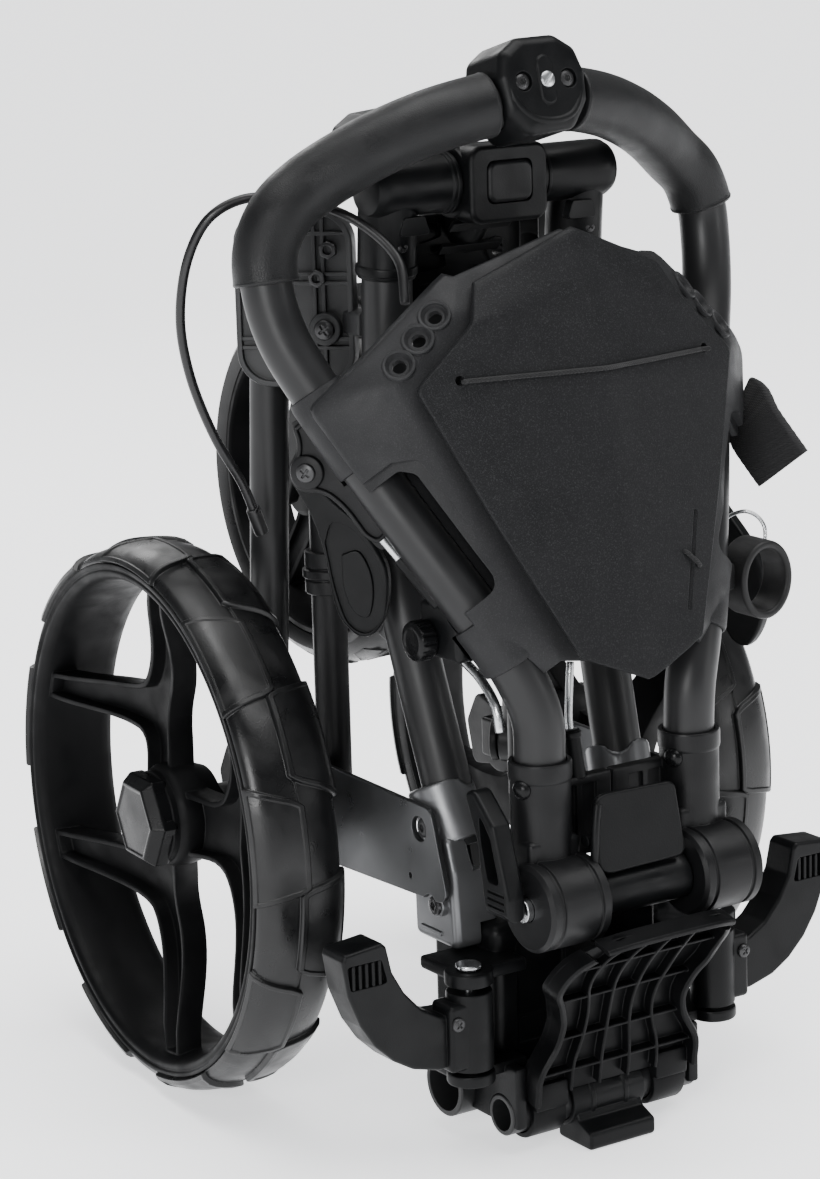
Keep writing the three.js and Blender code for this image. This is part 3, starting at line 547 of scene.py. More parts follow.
D45 = (0.7071068, -0.7071068, 0.0)
N45 = (0.7071068, 0.7071068, 0.0)


def along(p, k, d=N45):
    return (p[0] + d[0] * k, p[1] + d[1] * k, p[2] + d[2] * k)


TR = 12.5                                    # tube radius
HY, HZ = -226, 138                           # handle hinge

mx = lambda p: (-p[0], p[1], p[2])
mainPath = [(-51, -152, 150), (-53, -141, 186), (-56, -126, 235), (-58, -111, 285), (-58, -106, 318), (-57, -106, 360), (-56, -107, 410), (-56, -109, 452)]
mainFull = [(-50.3, -155.8, 137.6), *mainPath, (-56, -110, 470)]
loopL = [(-45, -212, 176), (-45, -212, 206), (-46, -212, 226), (-54, -207, 250), (-70, -192, 282), (-88, -172, 318), (-102, -155, 348), (-116, -138, 380), (-127, -126, 407), (-131, -120, 430), (-130, -118, 449), (-122, -119, 465), (-109, -121, 476), (-89, -130, 489), (-66, -139, 500), (-40, -147, 508)]
loop = loopL + [(0, -152, 513)] + [mx(p) for p in reversed(loopL)]


def sub(pts, u0, u1, n=14):
    P = catmull(pts, 600)
    return [P[int(round(600 * (u0 + (u1 - u0) * i / n)))] for i in range(n + 1)]


def offset_poly(pts, d):
    n = len(pts)
    a = sum(pts[i][0] * pts[(i + 1) % n][1] - pts[(i + 1) % n][0] * pts[i][1] for i in range(n))
    sg = 1 if a > 0 else -1
    out = []
    for i in range(n):
        p, q, r = Vector(pts[i - 1]), Vector(pts[i]), Vector(pts[(i + 1) % n])
        u, w = (q - p).normalized(), (r - q).normalized()
        n1, n2 = Vector((-u.y, u.x)), Vector((-w.y, w.x))
        m_ = (n1 + n2)
        m_ = m_.normalized() if m_.length > 1e-6 else n1
        k = d / max(m_.dot(n1), 0.35)
        z = q + m_ * (k * sg)
        out.append((z.x, z.y))
    return out


def c2(pts, n):
    return [(p.x, p.y) for p in catmull([(a, b, 0) for a, b in pts], n)]


# ------------------------------------------------------------------ big wheels
TOE = Matrix.Translation((-127, 0, 0)) @ Matrix.Rotation(math.radians(-3.5), 4, "Z") @ Matrix.Translation((127, 0, 0))
CR = [(142.3, 0.0), (142.2, 3), (142.0, 6), (141.5, 11), (140.6, 15.5), (139.2, 19), (137.6, 21.3), (136, 22.5), (134.4, 22.9)]


def crown(q):
    """point (radius, side) and outward normal at profile distance q from the middle of the tread"""
    sg = 1 if q >= 0 else -1
    q = abs(q)
    pts = [Vector(c) for c in CR]
    d = [0.0]
    for a, b in zip(pts, pts[1:]):
        d.append(d[-1] + (b - a).length)
    q = min(q, d[-1])
    i = min(max(int(np.searchsorted(d, q)) - 1, 0), len(d) - 2)
    f = (q - d[i]) / (d[i + 1] - d[i])
    p = pts[i].lerp(pts[i + 1], f)
    t = (pts[min(i + 2, len(pts) - 1)] - pts[max(i - 1, 0)]).normalized() if 0 < i else (pts[1] - pts[0]).normalized()
    n = Vector((t.y, -t.x))
    return p.x, p.y * sg, n.x, n.y * sg


def pad(th, side, q0=-3.0, q1=26.8, h0=23.5, h1=32.0):
    ins = [0, 0.45, 1.0, 3.0, 3.5]
    L = q1 - q0
    qd = ins + [3.5 + (L - 7) * k / 6 for k in range(1, 6)] + [L - x for x in reversed(ins)]
    f = lambda d: float(np.interp(d, [0, 0.45, 1.0, 3.0, 3.5], [-1.0, 1.9, 2.45, 2.45, 1.75]))
    top, bot = [], []
    for qq in qd:
        q = q0 + qq
        k = qq / L
        h = h0 + (h1 - h0) * k ** 1.5
        if qq < 8:
            h -= 3.2 * (1 - qq / 8) ** 2
        c = 3.0 * (1 - k)
        td = ins + [3.5 + (2 * h - 7) * j / 12 for j in range(1, 12)] + [2 * h - x for x in reversed(ins)]
        ra, rb = [], []
        for tt in td:
            t = c - h + tt
            H = f(min(min(qq, L - qq), min(tt, 2 * h - tt)))
            r, s, nr, ns = crown(q)
            for lst, hh in ((ra, H), (rb, -1.6)):
                R, S = r + nr * hh, s + ns * hh
                a = th + side * t / 142.0
                lst.append((-127 - side * S, R * math.cos(a), 145 + R * math.sin(a)))
        top.append(ra)
        bot.append(rb)
    bm = bmesh.new()
    A = [[bm.verts.new(p) for p in r] for r in top]
    B = [[bm.verts.new(p) for p in r] for r in bot]
    m_, n_ = len(A), len(A[0])
    for i in range(m_ - 1):
        for j in range(n_ - 1):
            bm.faces.new((A[i][j], A[i + 1][j], A[i + 1][j + 1], A[i][j + 1]))
            bm.faces.new((B[i][j], B[i][j + 1], B[i + 1][j + 1], B[i + 1][j]))
    for i in range(m_ - 1):
        bm.faces.new((A[i][0], B[i][0], B[i + 1][0], A[i + 1][0]))
        bm.faces.new((A[i][-1], A[i + 1][-1], B[i + 1][-1], B[i][-1]))
    for j in range(n_ - 1):
        bm.faces.new((A[0][j], A[0][j + 1], B[0][j + 1], B[0][j]))
        bm.faces.new((A[-1][j], B[-1][j], B[-1][j + 1], A[-1][j + 1]))
    return mesh_of(bm)


tp = [(127.9, 20.5), (129.5, 21.7), (133.9, 22.3)] + [c for c in reversed(CR[1:])] + [(142.2, 0.9), (141.5, 0.45)]
tp = tp + [(r, -s) for r, s in reversed(tp)]
tyre = lathe(tp, 180, (-127, 0, 145), (-1, 0, 0), closed=True)
pads = []
PHASE = math.radians(12)
for k in range(9):
    pads.append(pad(PHASE + math.radians(40 * k), 1))
    pads.append(pad(PHASE + math.radians(40 * k + 20), -1))
tyre = moved(both(tyre, *pads), TOE)
pair("tyre", tyre, "mat_tyre", ("wheel_left", "wheel_right"), ("tyre",), smooth=42, wn=False)

DR = np.polyfit([17, 30, 45, 60, 75, 90, 105, 123, 128], [8, 3.5, -1, -3, 0, 5.2, 10.4, 16, 17.3], 4)


def yspoke(a):
    half = c2([(15, 17.8), (30, 16.6), (42, 16.6), (50, 20.5), (57.5, 30.5), (66, 43.6), (77, 61), (93.4, 85.8)], 26)
    inner = c2([(103.0, 73.2), (92.5, 51.5), (84.3, 33.3), (77, 17), (73, 6), (71.8, 0)], 22)
    out = half + inner + [(x, -y) for x, y in reversed(inner[:-1])] + [(x, -y) for x, y in reversed(half)]
    body = prism(out, 14, (0, 0, -7), (1, 0, 0), (0, 1, 0), 0)
    pk = prism(offset_poly(out, 2.9), 10, (0, 0, -2.6), (1, 0, 0), (0, 1, 0), 0)
    me = cut(body, pk)
    bm = bmesh.new()
    bm.from_mesh(me)
    bmesh.ops.dissolve_limit(bm, angle_limit=0.01, verts=bm.verts, edges=bm.edges)
    bevel(bm, 0.75, 2, 40)
    for k in range(14):
        for no, co in (((1, 0, 0), (20 + 7.5 * k, 0, 0)), ((0, 1, 0), (0, -86 + 13 * k, 0))):
            g = bm.verts[:] + bm.edges[:] + bm.faces[:]
            bmesh.ops.bisect_plane(bm, geom=g, plane_co=co, plane_no=no, dist=1e-5)
    for v in bm.verts:
        v.co.z += float(np.polyval(DR, math.hypot(v.co.x, v.co.y)))
    ca, sa = math.cos(a), math.sin(a)
    M = Matrix(((0, 0, -1, -127), (ca, -sa, 0, 0), (sa, ca, 0, 145), (0, 0, 0, 1)))
    bmesh.ops.transform(bm, matrix=M, verts=bm.verts)
    return mesh_of(bm)


rp = [(127.6, -22.4), (127.6, 20.2), (129.2, 21.9), (133.4, 22.5), (134.0, 23.0), (133.7, 23.7), (132.6, 23.9), (131.8, 23.6), (131.4, 22.9), (130.6, 22.7), (129.9, 23.2), (129.0, 23.3), (127.6, 22.7), (126.0, 20.6), (125.0, 17), (123.6, 8), (122.9, -4), (122.7, -14), (124.0, -18.6), (126.2, -21.6), (127, -22.4)]
rim = lathe(rp, 180, (-127, 0, 145), (-1, 0, 0), closed=True)
hub = lathe([(0, -19), (20, -19), (23, -17.5), (26.5, -8), (27.4, -2), (27, 5), (25.4, 8.6), (23, 9.9), (0, 9.9)], 48, (-127, 0, 145), (-1, 0, 0))
hubring = lathe([(20.5, 9.5), (20.5, 12.4), (21, 13), (23.8, 13), (24.4, 12.4), (24.4, 9.2)], 48, (-127, 0, 145), (-1, 0, 0), closed=True)
rim = moved(both(rim, hub, hubring, *[yspoke(math.radians(61 + 120 * i)) for i in range(3)]), TOE)
pair("wheel_rim", rim, "mat_rim", ("wheel_left", "wheel_right"), ("wheel_rim",), smooth=40, wn=False)

hx = lambda r, s, rot=0.0: [(-127 - s, r * math.cos(math.pi / 3 * k + rot), 145 + r * math.sin(math.pi / 3 * k + rot)) for k in range(6)]
bm = bmesh.new()
lay = [hx(24.5, 10.4), hx(26, 12.2), hx(26, 19.0), hx(21.6, 24.4), hx(20.0, 24.8), hx(18.8, 24.0), hx(5, 24.6)]
VV = [[bm.verts.new(p) for p in l] for l in lay]
bm.faces.new(VV[0]); bm.faces.new(VV[-1][::-1])
for a_, b_ in zip(VV, VV[1:]):
    for i in range(6):
        bm.faces.new((a_[i], b_[i], b_[(i + 1) % 6], a_[(i + 1) % 6]))
bevel(bm, 0.9, 3, 18)
cap = mesh_of(bm)
cap = cut(cap, *[box((-141, 25 * math.cos(t), 145 + 25 * math.sin(t)), (6, 4, 7), (t, 0, 0), 0.4) for t in (math.radians(-18), math.radians(18), math.radians(162), math.radians(198))])
pair("hub_cap", moved(cap, TOE), "mat_cap", ("wheel_left", "wheel_right"), ("hub_cap",), smooth=30)

# ------------------------------------------------------------------ front wheel
FW = (0, 38, 300)
fp_ = [(83.9, 17.5), (86, 18.9), (91, 19.8), (94.5, 17.2), (97.4, 12.5), (99.2, 7), (99.6, 1.0), (98.9, 0.5)]
fp_ = fp_ + [(r, -s) for r, s in reversed(fp_)]
ft = lathe(fp_, 120, FW, (-1, 0, 0), closed=True)
blocks = []
for k in range(20):
    for sg in (1, -1):
        a = math.radians(18 * k + (9 if sg > 0 else 0))
        ca, sa = math.cos(a), math.sin(a)
        pts = [(-8.5, 2.5), (8.5, 2.5), (10.5, 9), (6, 15), (-6, 15), (-10.5, 9)]
        b_ = prism(fillet(pts, 1.6, 3), 5, (0, 0, 0), (1, 0, 0), (0, 1, 0), 0.6)
        b_.transform(Matrix(((0, -sg, 0, 0), (-sa, 0, ca, FW[1] + 97.2 * ca), (ca, 0, sa, FW[2] + 97.2 * sa), (0, 0, 0, 1))))
        bm = bmesh.new(); bm.from_mesh(b_)
        for v in bm.verts:
            dx = abs(v.co.x)
            rr = Vector((0, v.co.y - FW[1], v.co.z - FW[2]))
            if dx > 6:
                k2 = (dx - 6) ** 2 * 0.045
                u_ = rr.normalized() * k2
                v.co -= u_
        blocks.append(mesh_of(bm))
piece("front_tyre_v", both(ft, *blocks), "mat_tyre", "front_wheel", "front_tyre", wn=False)
ro = 83.6
fr = lathe([(ro, -17), (ro, 17), (ro - 1, 18), (ro - 3.4, 18.2), (ro - 5, 16.6), (ro - 7.6, 2), (ro - 7.6, -2), (ro - 5, -16.6), (ro - 3.4, -18.2), (ro - 1, -18)], 110, FW, (-1, 0, 0), closed=True)
fh = lathe([(6.4, -22), (15, -22), (17.6, -20), (18.4, -8), (18.4, 8), (17.6, 20), (15, 22), (6.4, 22)], 44, FW, (-1, 0, 0), closed=True)
sp = []
for i in range(5):
    a = math.radians(20 + 72 * i)
    s_ = prism([(14, -12), (40, -8.5), (ro - 4, -8), (ro - 4, 8), (40, 8.5), (14, 12)], 12, FW, (0, math.cos(a), math.sin(a)), (0, -math.sin(a), math.cos(a)), 1.0)
    for sg in (-1, 1):
        s_ = cut(s_, prism(fillet([(22, -7.5), (42, -5.6), (ro - 8, -5), (ro - 8, 5), (42, 5.6), (22, 7.5)], 3, 4), 8, (sg * 6.5, FW[1], FW[2]), (0, math.cos(a), math.sin(a)), (0, -math.sin(a), math.cos(a)), 0))
    sp.append(s_)
piece("front_rim_v", both(fr, fh, *sp), "mat_rim", "front_wheel", "front_rim")

# ------------------------------------------------------------------ frame
pair("main_tube_v", sweep(mainPath, TR, 40, 70), "mat_tube", "chassis", ("main_tube",))
mainClear = sweep(mainFull, TR + 0.35, 36, 60)
base = union(box((0, -152, 76), (104, 56, 76), bv=6, seg=4), box((0, -192, 118), (33, 58, 22), bv=3, seg=3), cyl((-27, HY, HZ), (27, HY, HZ), 12, 1.2, 48),
             box((0, -219, 130), (33, 14, 10), bv=1.5), box((0, -165, 32), (80, 22, 20), bv=2.5, seg=3))
for s in (-1, 1):
    base = union(base, box((s * 62, -176, 97.5), (40, 36, 7), bv=2), cyl((s * 75, -191, 94), (s * 75, -191, 101), 12, 1.2), box((s * 62, -178, 46.5), (40, 30, 6), bv=1.6),
                 cyl((s * 75, -191, 43.5), (s * 75, -191, 49.5), 12, 1.2), box((s * 53.2, -182, 32), (6.4, 42, 32), bv=1.6))
base = cut(base, cyl((-80, HY, HZ), (80, HY, HZ), 6.35, 0), cyl((-70, -150, 26), (70, -150, 26), 16.35, 0, 48), cyl((-70, -190, 21), (70, -190, 21), 10.85, 0))
for s in (-1, 1):
    base = cut(base, cyl((s * 75, -191, 30), (s * 75, -191, 110), 4.35, 0), box((s * 24, -182, 84), (30, 10, 40), bv=2), box((s * 24, -182, 62), (30, 6, 22), bv=1.5))
piece("base_moulding_v", base, "mat_plastic", "chassis", "base_moulding")

lb = union(cyl((-51.4, -151, 152), (-55.0, -139.0, 180), 16.5, 2.2, 44), prism(fillet([(-22, -44), (16, -44), (17, -8), (13, 12), (-14, 12), (-19, -4)], 5, 5), 26, (-54, -148, 146), (0, 1, 0), (0, 0.06, 1), 4, 4))
lb = cut(lb, mainClear, box((0, -152, 76), (104.7, 56.7, 76.7), bv=0))
lb = union(lb, cyl((-71, -150, 162), (-66, -150, 162), 6, 0.8), cyl((-71, -158, 124), (-66, -158, 124), 6, 0.8))
lb = union(lb, prism([(-9, -1.1), (9, -1.1), (9, 1.1), (-9, 1.1)], 28, (-54, -148, 108), (0, 1, 0), (0, 0, 1), 0.4))
pair("lower_bracket_v", lb, "mat_satin", "chassis", ("lower_bracket",))
for z, y in ((162, -150), (124, -158)):
    pair("bracket_screw_%d" % z, screw((-71, y, z), (-1, 0, 0), 5.0, 2.0, "hex"), "mat_black_steel", "chassis")
pl = cut(prism(fillet([(-24, -22), (88, -26), (102, -10), (102, 16), (90, 26), (-10, 24)], 8, 6), 3, (-73, -150, 150), (0, 1, 0), (0, 0, 1), 0.6),
         cyl((-80, -150, 162), (-60, -150, 162), 6.5, 0), cyl((-80, -158, 124), (-60, -158, 124), 6.5, 0), cyl((-80, -141, 136), (-60, -141, 136), 1.6, 0))
pair("side_plate_v", pl, "mat_plate", "chassis", ("side_plate",))
stay = cyl((-60, -50, 132), (-60, -51, 372), 9, 1, 44)
col = union(lathe([(9.1, 0), (11.4, 0), (12, 0.6), (12, 6.6), (11.4, 7.4), (11.4, 8), (12.6, 8.2), (13.2, 8.8), (13.2, 12.2), (12.6, 12.8), (11.4, 13), (11.4, 13.6), (12, 14.2), (12, 21.4), (11.2, 22), (9.1, 22)], 44, (-60, -50.6, 262), (0, 0, 1), closed=True))
pair("rear_stay_v", both(stay, col, box((-65, -50, 146), (13, 20, 24), bv=2, seg=3)), "mat_cast", "chassis", ("rear_stay",))

LT, LB = (-80, -38, 440), (-80, -17, 152)
BR = (-80, -62, 416)
UZ = (0, 0, 1)
br = union(prism(rounded(60, 88, 17, 7), 5, BR, D45, UZ, 1.2), cut(prism(rounded(60, 88, 17, 7), 11, BR, D45, UZ, 1.0), prism(rounded(54.4, 82.4, 14.5, 7), 12, BR, D45, UZ, 0)))
for h in (-20, -24.5, 12, 7.5, 32):
    br = union(br, prism([(-28.5, h - 1.0), (28.5, h - 1.0), (28.5, h + 1.0), (-28.5, h + 1.0)], 9.6, BR, D45, UZ, 0.4))
for e_ in (10.5, 15):
    br = union(br, prism([(e_ - 1, -42), (e_ + 1, -42), (e_ + 1, 42), (e_ - 1, 42)], 9.6, BR, D45, UZ, 0.4))
br = union(br, prism([(-24, 20), (-22.4, 21.4), (-4, -2), (-5.6, -3.4)], 9, BR, D45, UZ, 0.3))
br = union(br, cyl(along((-69, -73, 401), -8), along((-69, -73, 401), 4), 8.2, 1.2, 36))
br = union(br, box((-63, -60, 384), (22, 28, 22), bv=3, seg=3), box((-58, -75, 404), (14, 40, 12), bv=2))
br = cut(br, cyl((-60, -50, 120), (-60, -51, 372.4), 9.35, 0), mainClear)
br = union(br, cyl(along(LT, -18), along(LT, 13), 5, 0.8))
pair("leg_bracket_v", br, "mat_bracket", "chassis", ("leg_bracket",))
pair("boss_screw", screw(along((-69, -73, 401), -8), (-N45[0], -N45[1], 0), 5.2, 2.2), "mat_black_steel", "chassis")
for k, (a_, z_) in enumerate(((-6, 440), (-4, 426))):
    p_ = (BR[0] + D45[0] * (-a_) * 3, BR[1] + D45[1] * (-a_) * 3, z_)
    pair("bracket_nut_%d" % k, nut(along(p_, -2.5), (-N45[0], -N45[1], 0), 4.6, 4.4), "mat_black_steel", "chassis")

leg = union(cyl(LT, LB, 10, 0.6, 40), cyl(along(LT, -10.5), along(LT, 10.5), 12, 1.4), cyl(along(LB, -10.5), along(LB, 10.5), 12, 1.4))
leg = cut(leg, cyl(along(LT, -30), along(LT, 30), 5.35, 0), cyl(along(LB, -30), along(LB, 30), 5.35, 0))
piece("leg_tube_vl", leg, "mat_tube", "leg_left", "leg_tube_left")
piece("leg_tube_vr", mirrored(leg), "mat_tube", "leg_right", "leg_tube_right")
car = union(cyl(along(LB, 11), along(LB, 15), 12, 1), prism(fillet([(-16, -14), (18, -20), (24, 4), (14, 22), (-10, 14)], 6, 5), 6, (-80, 6, 150), (0, 1, 0), (0, 0, 1), 1.2), box((-77, -2, 150), (10, 22, 22), bv=2, seg=3),
            cyl((-86, 0, 145), (-77, 0, 145), 15, 1.5), cyl((-102.4, 0, 145), (-80, 0, 145), 11, 1.2), moved(cyl((-142, 0, 145), (-100, 0, 145), 6, 0.8), TOE))
car = cut(car, cyl(along(LB, -10.8), along(LB, 10.8), 12.9, 0))
car = union(car, cyl(along(LB, -17), along(LB, 14), 5, 0.8), cyl(along(LB, -17.5), along(LB, -11.2), 8, 1.2))
piece("carrier_vl", car, "mat_cast", "carrier_left", "wheel_carrier_left")
piece("carrier_vr", mirrored(car), "mat_cast", "carrier_right", "wheel_carrier_right")

# ------------------------------------------------------------------ top hinge, front arm
TY, TZ = -114, 472
th = union(lathe([(0, 0), (9, 0), (12.4, 1.4), (14.2, 4.6), (14.5, 8), (14.5, 42.6), (15.3, 43.2), (15.3, 44.6), (14.5, 45), (15.3, 45.6), (15.3, 47.4), (14.6, 48), (0, 48)], 56, (-72, TY, TZ), (1, 0, 0)),
           cyl((-56, -107.4, 428), (-56, -111, TZ), 14.4, 0.9, 48), cyl((-56, -107.5, 430), (-56, -107.9, 434.5), 15.3, 0.8, 48), prism(fillet([(-9, -3), (9, -3), (6, 6), (-6, 6)], 2), 6, (-50, -122, 452), (1, 0, 0), (0, 0, 1), 1))
th = cut(th, mainClear, cyl((-60, TY, TZ), (0, TY, TZ), 5.35, 0))
# the top sockets take the darker, duller black plastic instead of the cast finish; this darkening is painted shade for
# the shadow they sit in behind the clamp and grips
pair("top_socket_v", th, "mat_plastic", "chassis", ("top_hinge_socket",))
pair("top_socket_screw", screw((-56, -121.6, 444), (0, -1, 0.1), 3.2, 1.6), "mat_black_steel", "chassis")
piece("top_pin_v", cyl((-59.5, TY, TZ), (59.5, TY, TZ), 5, 0.6), "mat_steel", "chassis", "top_hinge_pin")
arm = union(cyl((-23.4, TY, TZ), (23.4, TY, TZ), 18, 1.4, 56), prism(rounded(46, 38, 7, 6), 18, (0, TY - 11, TZ - 1), (1, 0, 0), (0, 0, 1), 2.4, 4), cyl((0, -104, 462), (0, -52, 404), 12.5, 1), box((0, -47, 402), (71, 44, 16), (0.25, 0, 0), 3, 3))
for s in (-1, 1):
    arm = union(arm, prism(fillet([(-70, 98), (-46, 112), (0, 12), (10, -4), (2, -12), (-10, -8), (-16, 4)], 5, 5), 7, (s * 32, 38, 300), (0, 1, 0), (0, 0, 1), 1.4))
arm = cut(arm, cyl((-60, TY, TZ), (60, TY, TZ), 5.35, 0), prism(rounded(27, 21, 4, 5), 16, (0, TY - 16, TZ), (1, 0, 0), (0, 0, 1), 0))
arm = union(arm, cyl((-36, 38, 300), (36, 38, 300), 6, 0.8))
for k in range(3):
    arm = union(arm, prism([(-18, -1), (18, -1), (18, 1), (-18, 1)], 6, (0, -108 + 10 * k, 449 - 12 * k), (1, 0, 0), (0, 0.7, 0.7), 0.3))
# the front arm's hinge barrel also takes the darker black plastic; this darkening is painted shade for the shadow
# behind the clamp and grips
piece("front_arm_v", arm, "mat_plastic", "front_fork", "front_arm")
bt = prism(rounded(26.2, 20.2, 5, 6), 9.5, (0, TY - 16.5, TZ), (1, 0, 0), (0, 0, 1), 2.2, 4)
piece("fold_button_v", bt, "mat_cast", "button", "fold_button")

# ------------------------------------------------------------------ lower end
tubeX = lambda r, ri, h, y, z, seg=48: lathe([(ri, -h), (r - 0.6, -h), (r, -h + 0.6), (r, h - 0.6), (r - 0.6, h), (ri, h)], seg, (0, y, z), (1, 0, 0), closed=True)
piece("cross_tube_v", tubeX(16, 13, 64, -150, 26, 56), "mat_tube", "chassis", "cross_tube")
piece("foot_bar_v", tubeX(10.5, 8, 57, -190, 21), "mat_tube", "chassis", "foot_bar")
piece("hinge_pin_v", union(cyl((-67.65, HY, HZ), (66, HY, HZ), 6, 0.6), prism(ring(10, 6), 4.6, (66.7, HY, HZ), (0, 1, 0), (0, 0, 1), 0.7)), "mat_steel", "chassis", "hinge_pin")
foot = union(cyl((-22, -190, 21), (22, -190, 21), 13.2, 1, 48), prism(fillet([(-8, 4), (12, 4), (10, -8), (4, -15), (4, -21), (-24, -21), (-24, -12), (-14, -8)], 3, 5), 40, (0, -190, 21), (0, 1, 0), (0, 0, 1), 1.6, 3))
for x in (-10, 10):
    foot = union(foot, cyl((x - 1.4, -190, 21), (x + 1.4, -190, 21), 13.9, 0.5, 48))
foot = cut(foot, cyl((-80, -190, 21), (80, -190, 21), 10.85, 0, 44), box((0, -152, 76), (104.7, 56.7, 76.7), bv=0), box((0, -165, 32), (80.7, 22.7, 20.7), bv=0))
piece("stand_foot_v", foot, "mat_plastic", "chassis", "stand_foot")

PZ = [30, 46, 71, 92, 112, 124]
PY = [-201, -203, -208, -217, -236, -254]
HZs = [30, 46, 62, 72, 84, 92, 108, 120, 124]
HW = [50, 50, 40, 38, 42, 48, 47, 38, 28]
pol = np.polyfit(PZ, PY, 3)
yA = lambda z: float(np.polyval(pol, z))
hW = lambda z: float(np.mean([np.interp(z + d_, HZs, HW) for d_ in (-3, -1.5, 0, 1.5, 3)]))
zz = list(np.arange(30, 124.1, 2.35))
fr_, qd_ = [], []
NF = 22
for z in zz:
    for j in range(NF + 1):
        f = -1 + 2 * j / NF
        fr_.append((f * hW(z), yA(z), z))
for i in range(len(zz) - 1):
    for j in range(NF):
        a = i * (NF + 1) + j
        qd_.append((a, a + 1, a + NF + 2, a + NF + 1))
fpl = sheetm(fr_, qd_, (0, 4, 0))


def plate_rib(path, w, d0, d1, top=True):
    """rib on the foot plate along (x, z) points"""
    P = catmull([(x, 0, z) for x, z in path], max(10, 6 * len(path)))
    P = [V(p.x, yA(p.z), p.z) for p in P]
    rings = []
    for i, p in enumerate(P):
        t = (P[min(i + 1, len(P) - 1)] - P[max(i - 1, 0)]).normalized()
        o = V(0, -1, -0.25).normalized()
        s = t.cross(o).normalized() * (w / 2)
        r_ = 0.3 * w
        rings.append([p + s + o * -d0, p + s + o * (d1 - r_), p + s * 0.5 + o * d1, p - s * 0.5 + o * d1, p - s + o * (d1 - r_), p - s + o * -d0])
    return loft(rings)


ribs = [plate_rib([(s * (hW(z) - 1.7), z) for z in np.arange(31, 121, 6)], 3.6, 3, 9.5) for s in (-1, 1)]
ribs.append(plate_rib([(-38, 120), (-26, 122.6), (-12, 123.4), (0, 123.6), (12, 123.4), (26, 122.6), (38, 120)], 3.2, 3, 9))
for x in (-24, -8, 8, 24):
    ribs.append(plate_rib([(x * hW(z) / 46, z) for z in np.arange(33, 122, 8)], 1.8, 2, 5.6))
for z in (44, 62, 84, 104):
    ribs.append(plate_rib([(f * (hW(z) - 2), z) for f in (-1, -0.5, 0, 0.5, 1)], 1.6, 2, 5.0))
lug = []
for s in (-1, 1):
    lg = union(box((s * 37, -200, 31), (20, 12, 14), bv=1.6), cyl((s * 27, -190, 21), (s * 47, -190, 21), 14, 1.2, 48))
    lug.append(cut(lg, cyl((-22.5, -190, 21), (22.5, -190, 21), 13.8, 0), cyl((-80, -190, 21), (80, -190, 21), 11.3, 0, 44)))
fpv = both(fpl, *ribs, *lug)
piece("foot_plate_v", fpv, "mat_foot", "plate", "foot_plate", wn=False)

CO = [(-78, 57), (-96, 55), (-111, 59), (-122, 65.5), (-132, 75), (-140, 87), (-146.5, 103), (-149.5, 121), (-148, 124.5), (-127, 126.5), (-124.5, 124), (-121.5, 110.5), (-115, 99), (-105.5, 88.5), (-95, 82.5), (-78, 81)]
w_ = prism(fillet(CO, [0, 8, 8, 8, 8, 8, 8, 2, 2, 2, 2, 7, 7, 7, 7, 0], 4), 20, (0, -186, 0), (1, 0, 0), (0, 0, 1), 3.2, 4, 50)
w_ = union(w_, cyl((-75, -191, 51), (-75, -191, 91), 11.5, 1.2, 44), box((-84, -191, 70), (16, 18, 34), bv=2.5, seg=3))
w_ = cut(w_, prism(fillet([(-145.5, 106), (-147.3, 118.5), (-127.8, 118.5), (-124.5, 106)], 2, 4), 8, (0, -197, 0), (1, 0, 0), (0, 0, 1), 0), cyl((-75, -191, 40), (-75, -191, 110), 4.35, 0))
for k_ in range(5):
    w_ = union(w_, prism(rounded(1.6, 12, 0.6, 3), 3.4, (-143.6 + 3.7 * k_, -194.2, 112.2), (1, 0, 0), (-0.05, 0, 1), 0.4))
pair("cradle_v", w_, "mat_plastic", ("cradle_left", "cradle_right"), ("cradle_arm",))
pair("cradle_pin_v", union(cyl((-75, -191, 44.2), (-75, -191, 103), 4, 0.5), cyl((-75, -191, 101.2), (-75, -191, 104), 6.5, 0.9)), "mat_steel", "chassis", ("cradle_pin",))
pair("cradle_screw", screw((-88, -200.2, 78), (0, -1, 0), 3.6, 1.6), "mat_black_steel", ("cradle_left", "cradle_right"))

# ------------------------------------------------------------------ handle
piece("handle_tube_v", sweep(loop, TR, 44, 220), "mat_tube", "handle", "handle_tube")
loopClear = sweep(loop, TR + 0.35, 40, 180)
for nm, u0, u1, ph in (("left", 0.315, 0.475, 0), ("right", 0.525, 0.668, 1)):
    P = sub(loop, u0, u1, 150)
    sc_ = lambda t: 1 + 0.0008 * math.sin(t * 2 * math.pi * 3) + 0.03 * math.exp(-((min(t, 1 - t)) / 0.012) ** 2)
    g = sweep(P, 15.6, 48, 150, raw=True, scale=sc_, cap=1.4)
    piece("grip_%s_v" % nm, g, "mat_grip", "handle", "grip_" + nm)
ZB = V(0, -0.968, 0.25).normalized()
YB = V(0, 0.25, 0.968).normalized()
OB = V(0, -138, 512)
LBk = lambda x, y, z: tuple(OB + V(1, 0, 0) * x + YB * y + ZB * z)
cb = prism(fillet([(-25, 6), (-22, 18), (-12, 24.5), (10, 25), (21, 18), (25, 6), (24, -8), (14, -21), (-13, -23), (-23, -12)], 7, 5), 36, LBk(0, 0, 11.5), (1, 0, 0), tuple(YB), 5.5, 6)
cb = cut(cb, loopClear, *[cyl(LBk(x, 3, 27.2), LBk(x, 3, 45), 4.8, 0, 36) for x in (-13, 13)])
cb = union(cb, sweep([LBk(-20, 4, 27.5), LBk(-18.5, -6, 28.4), LBk(-11, -14, 28.6), LBk(0, -16.5, 28.6), LBk(12, -14, 28.6), LBk(19, -5, 28), LBk(20.5, 4, 27)], 1.8, 16, 46), prism(rounded(9, 24, 4.4, 6), 4, LBk(0, 3, 28.6), (1, 0, 0), tuple(YB), 1.2, 3))
piece("clamp_block_v", cb, "mat_plastic", "handle", "clamp_block")
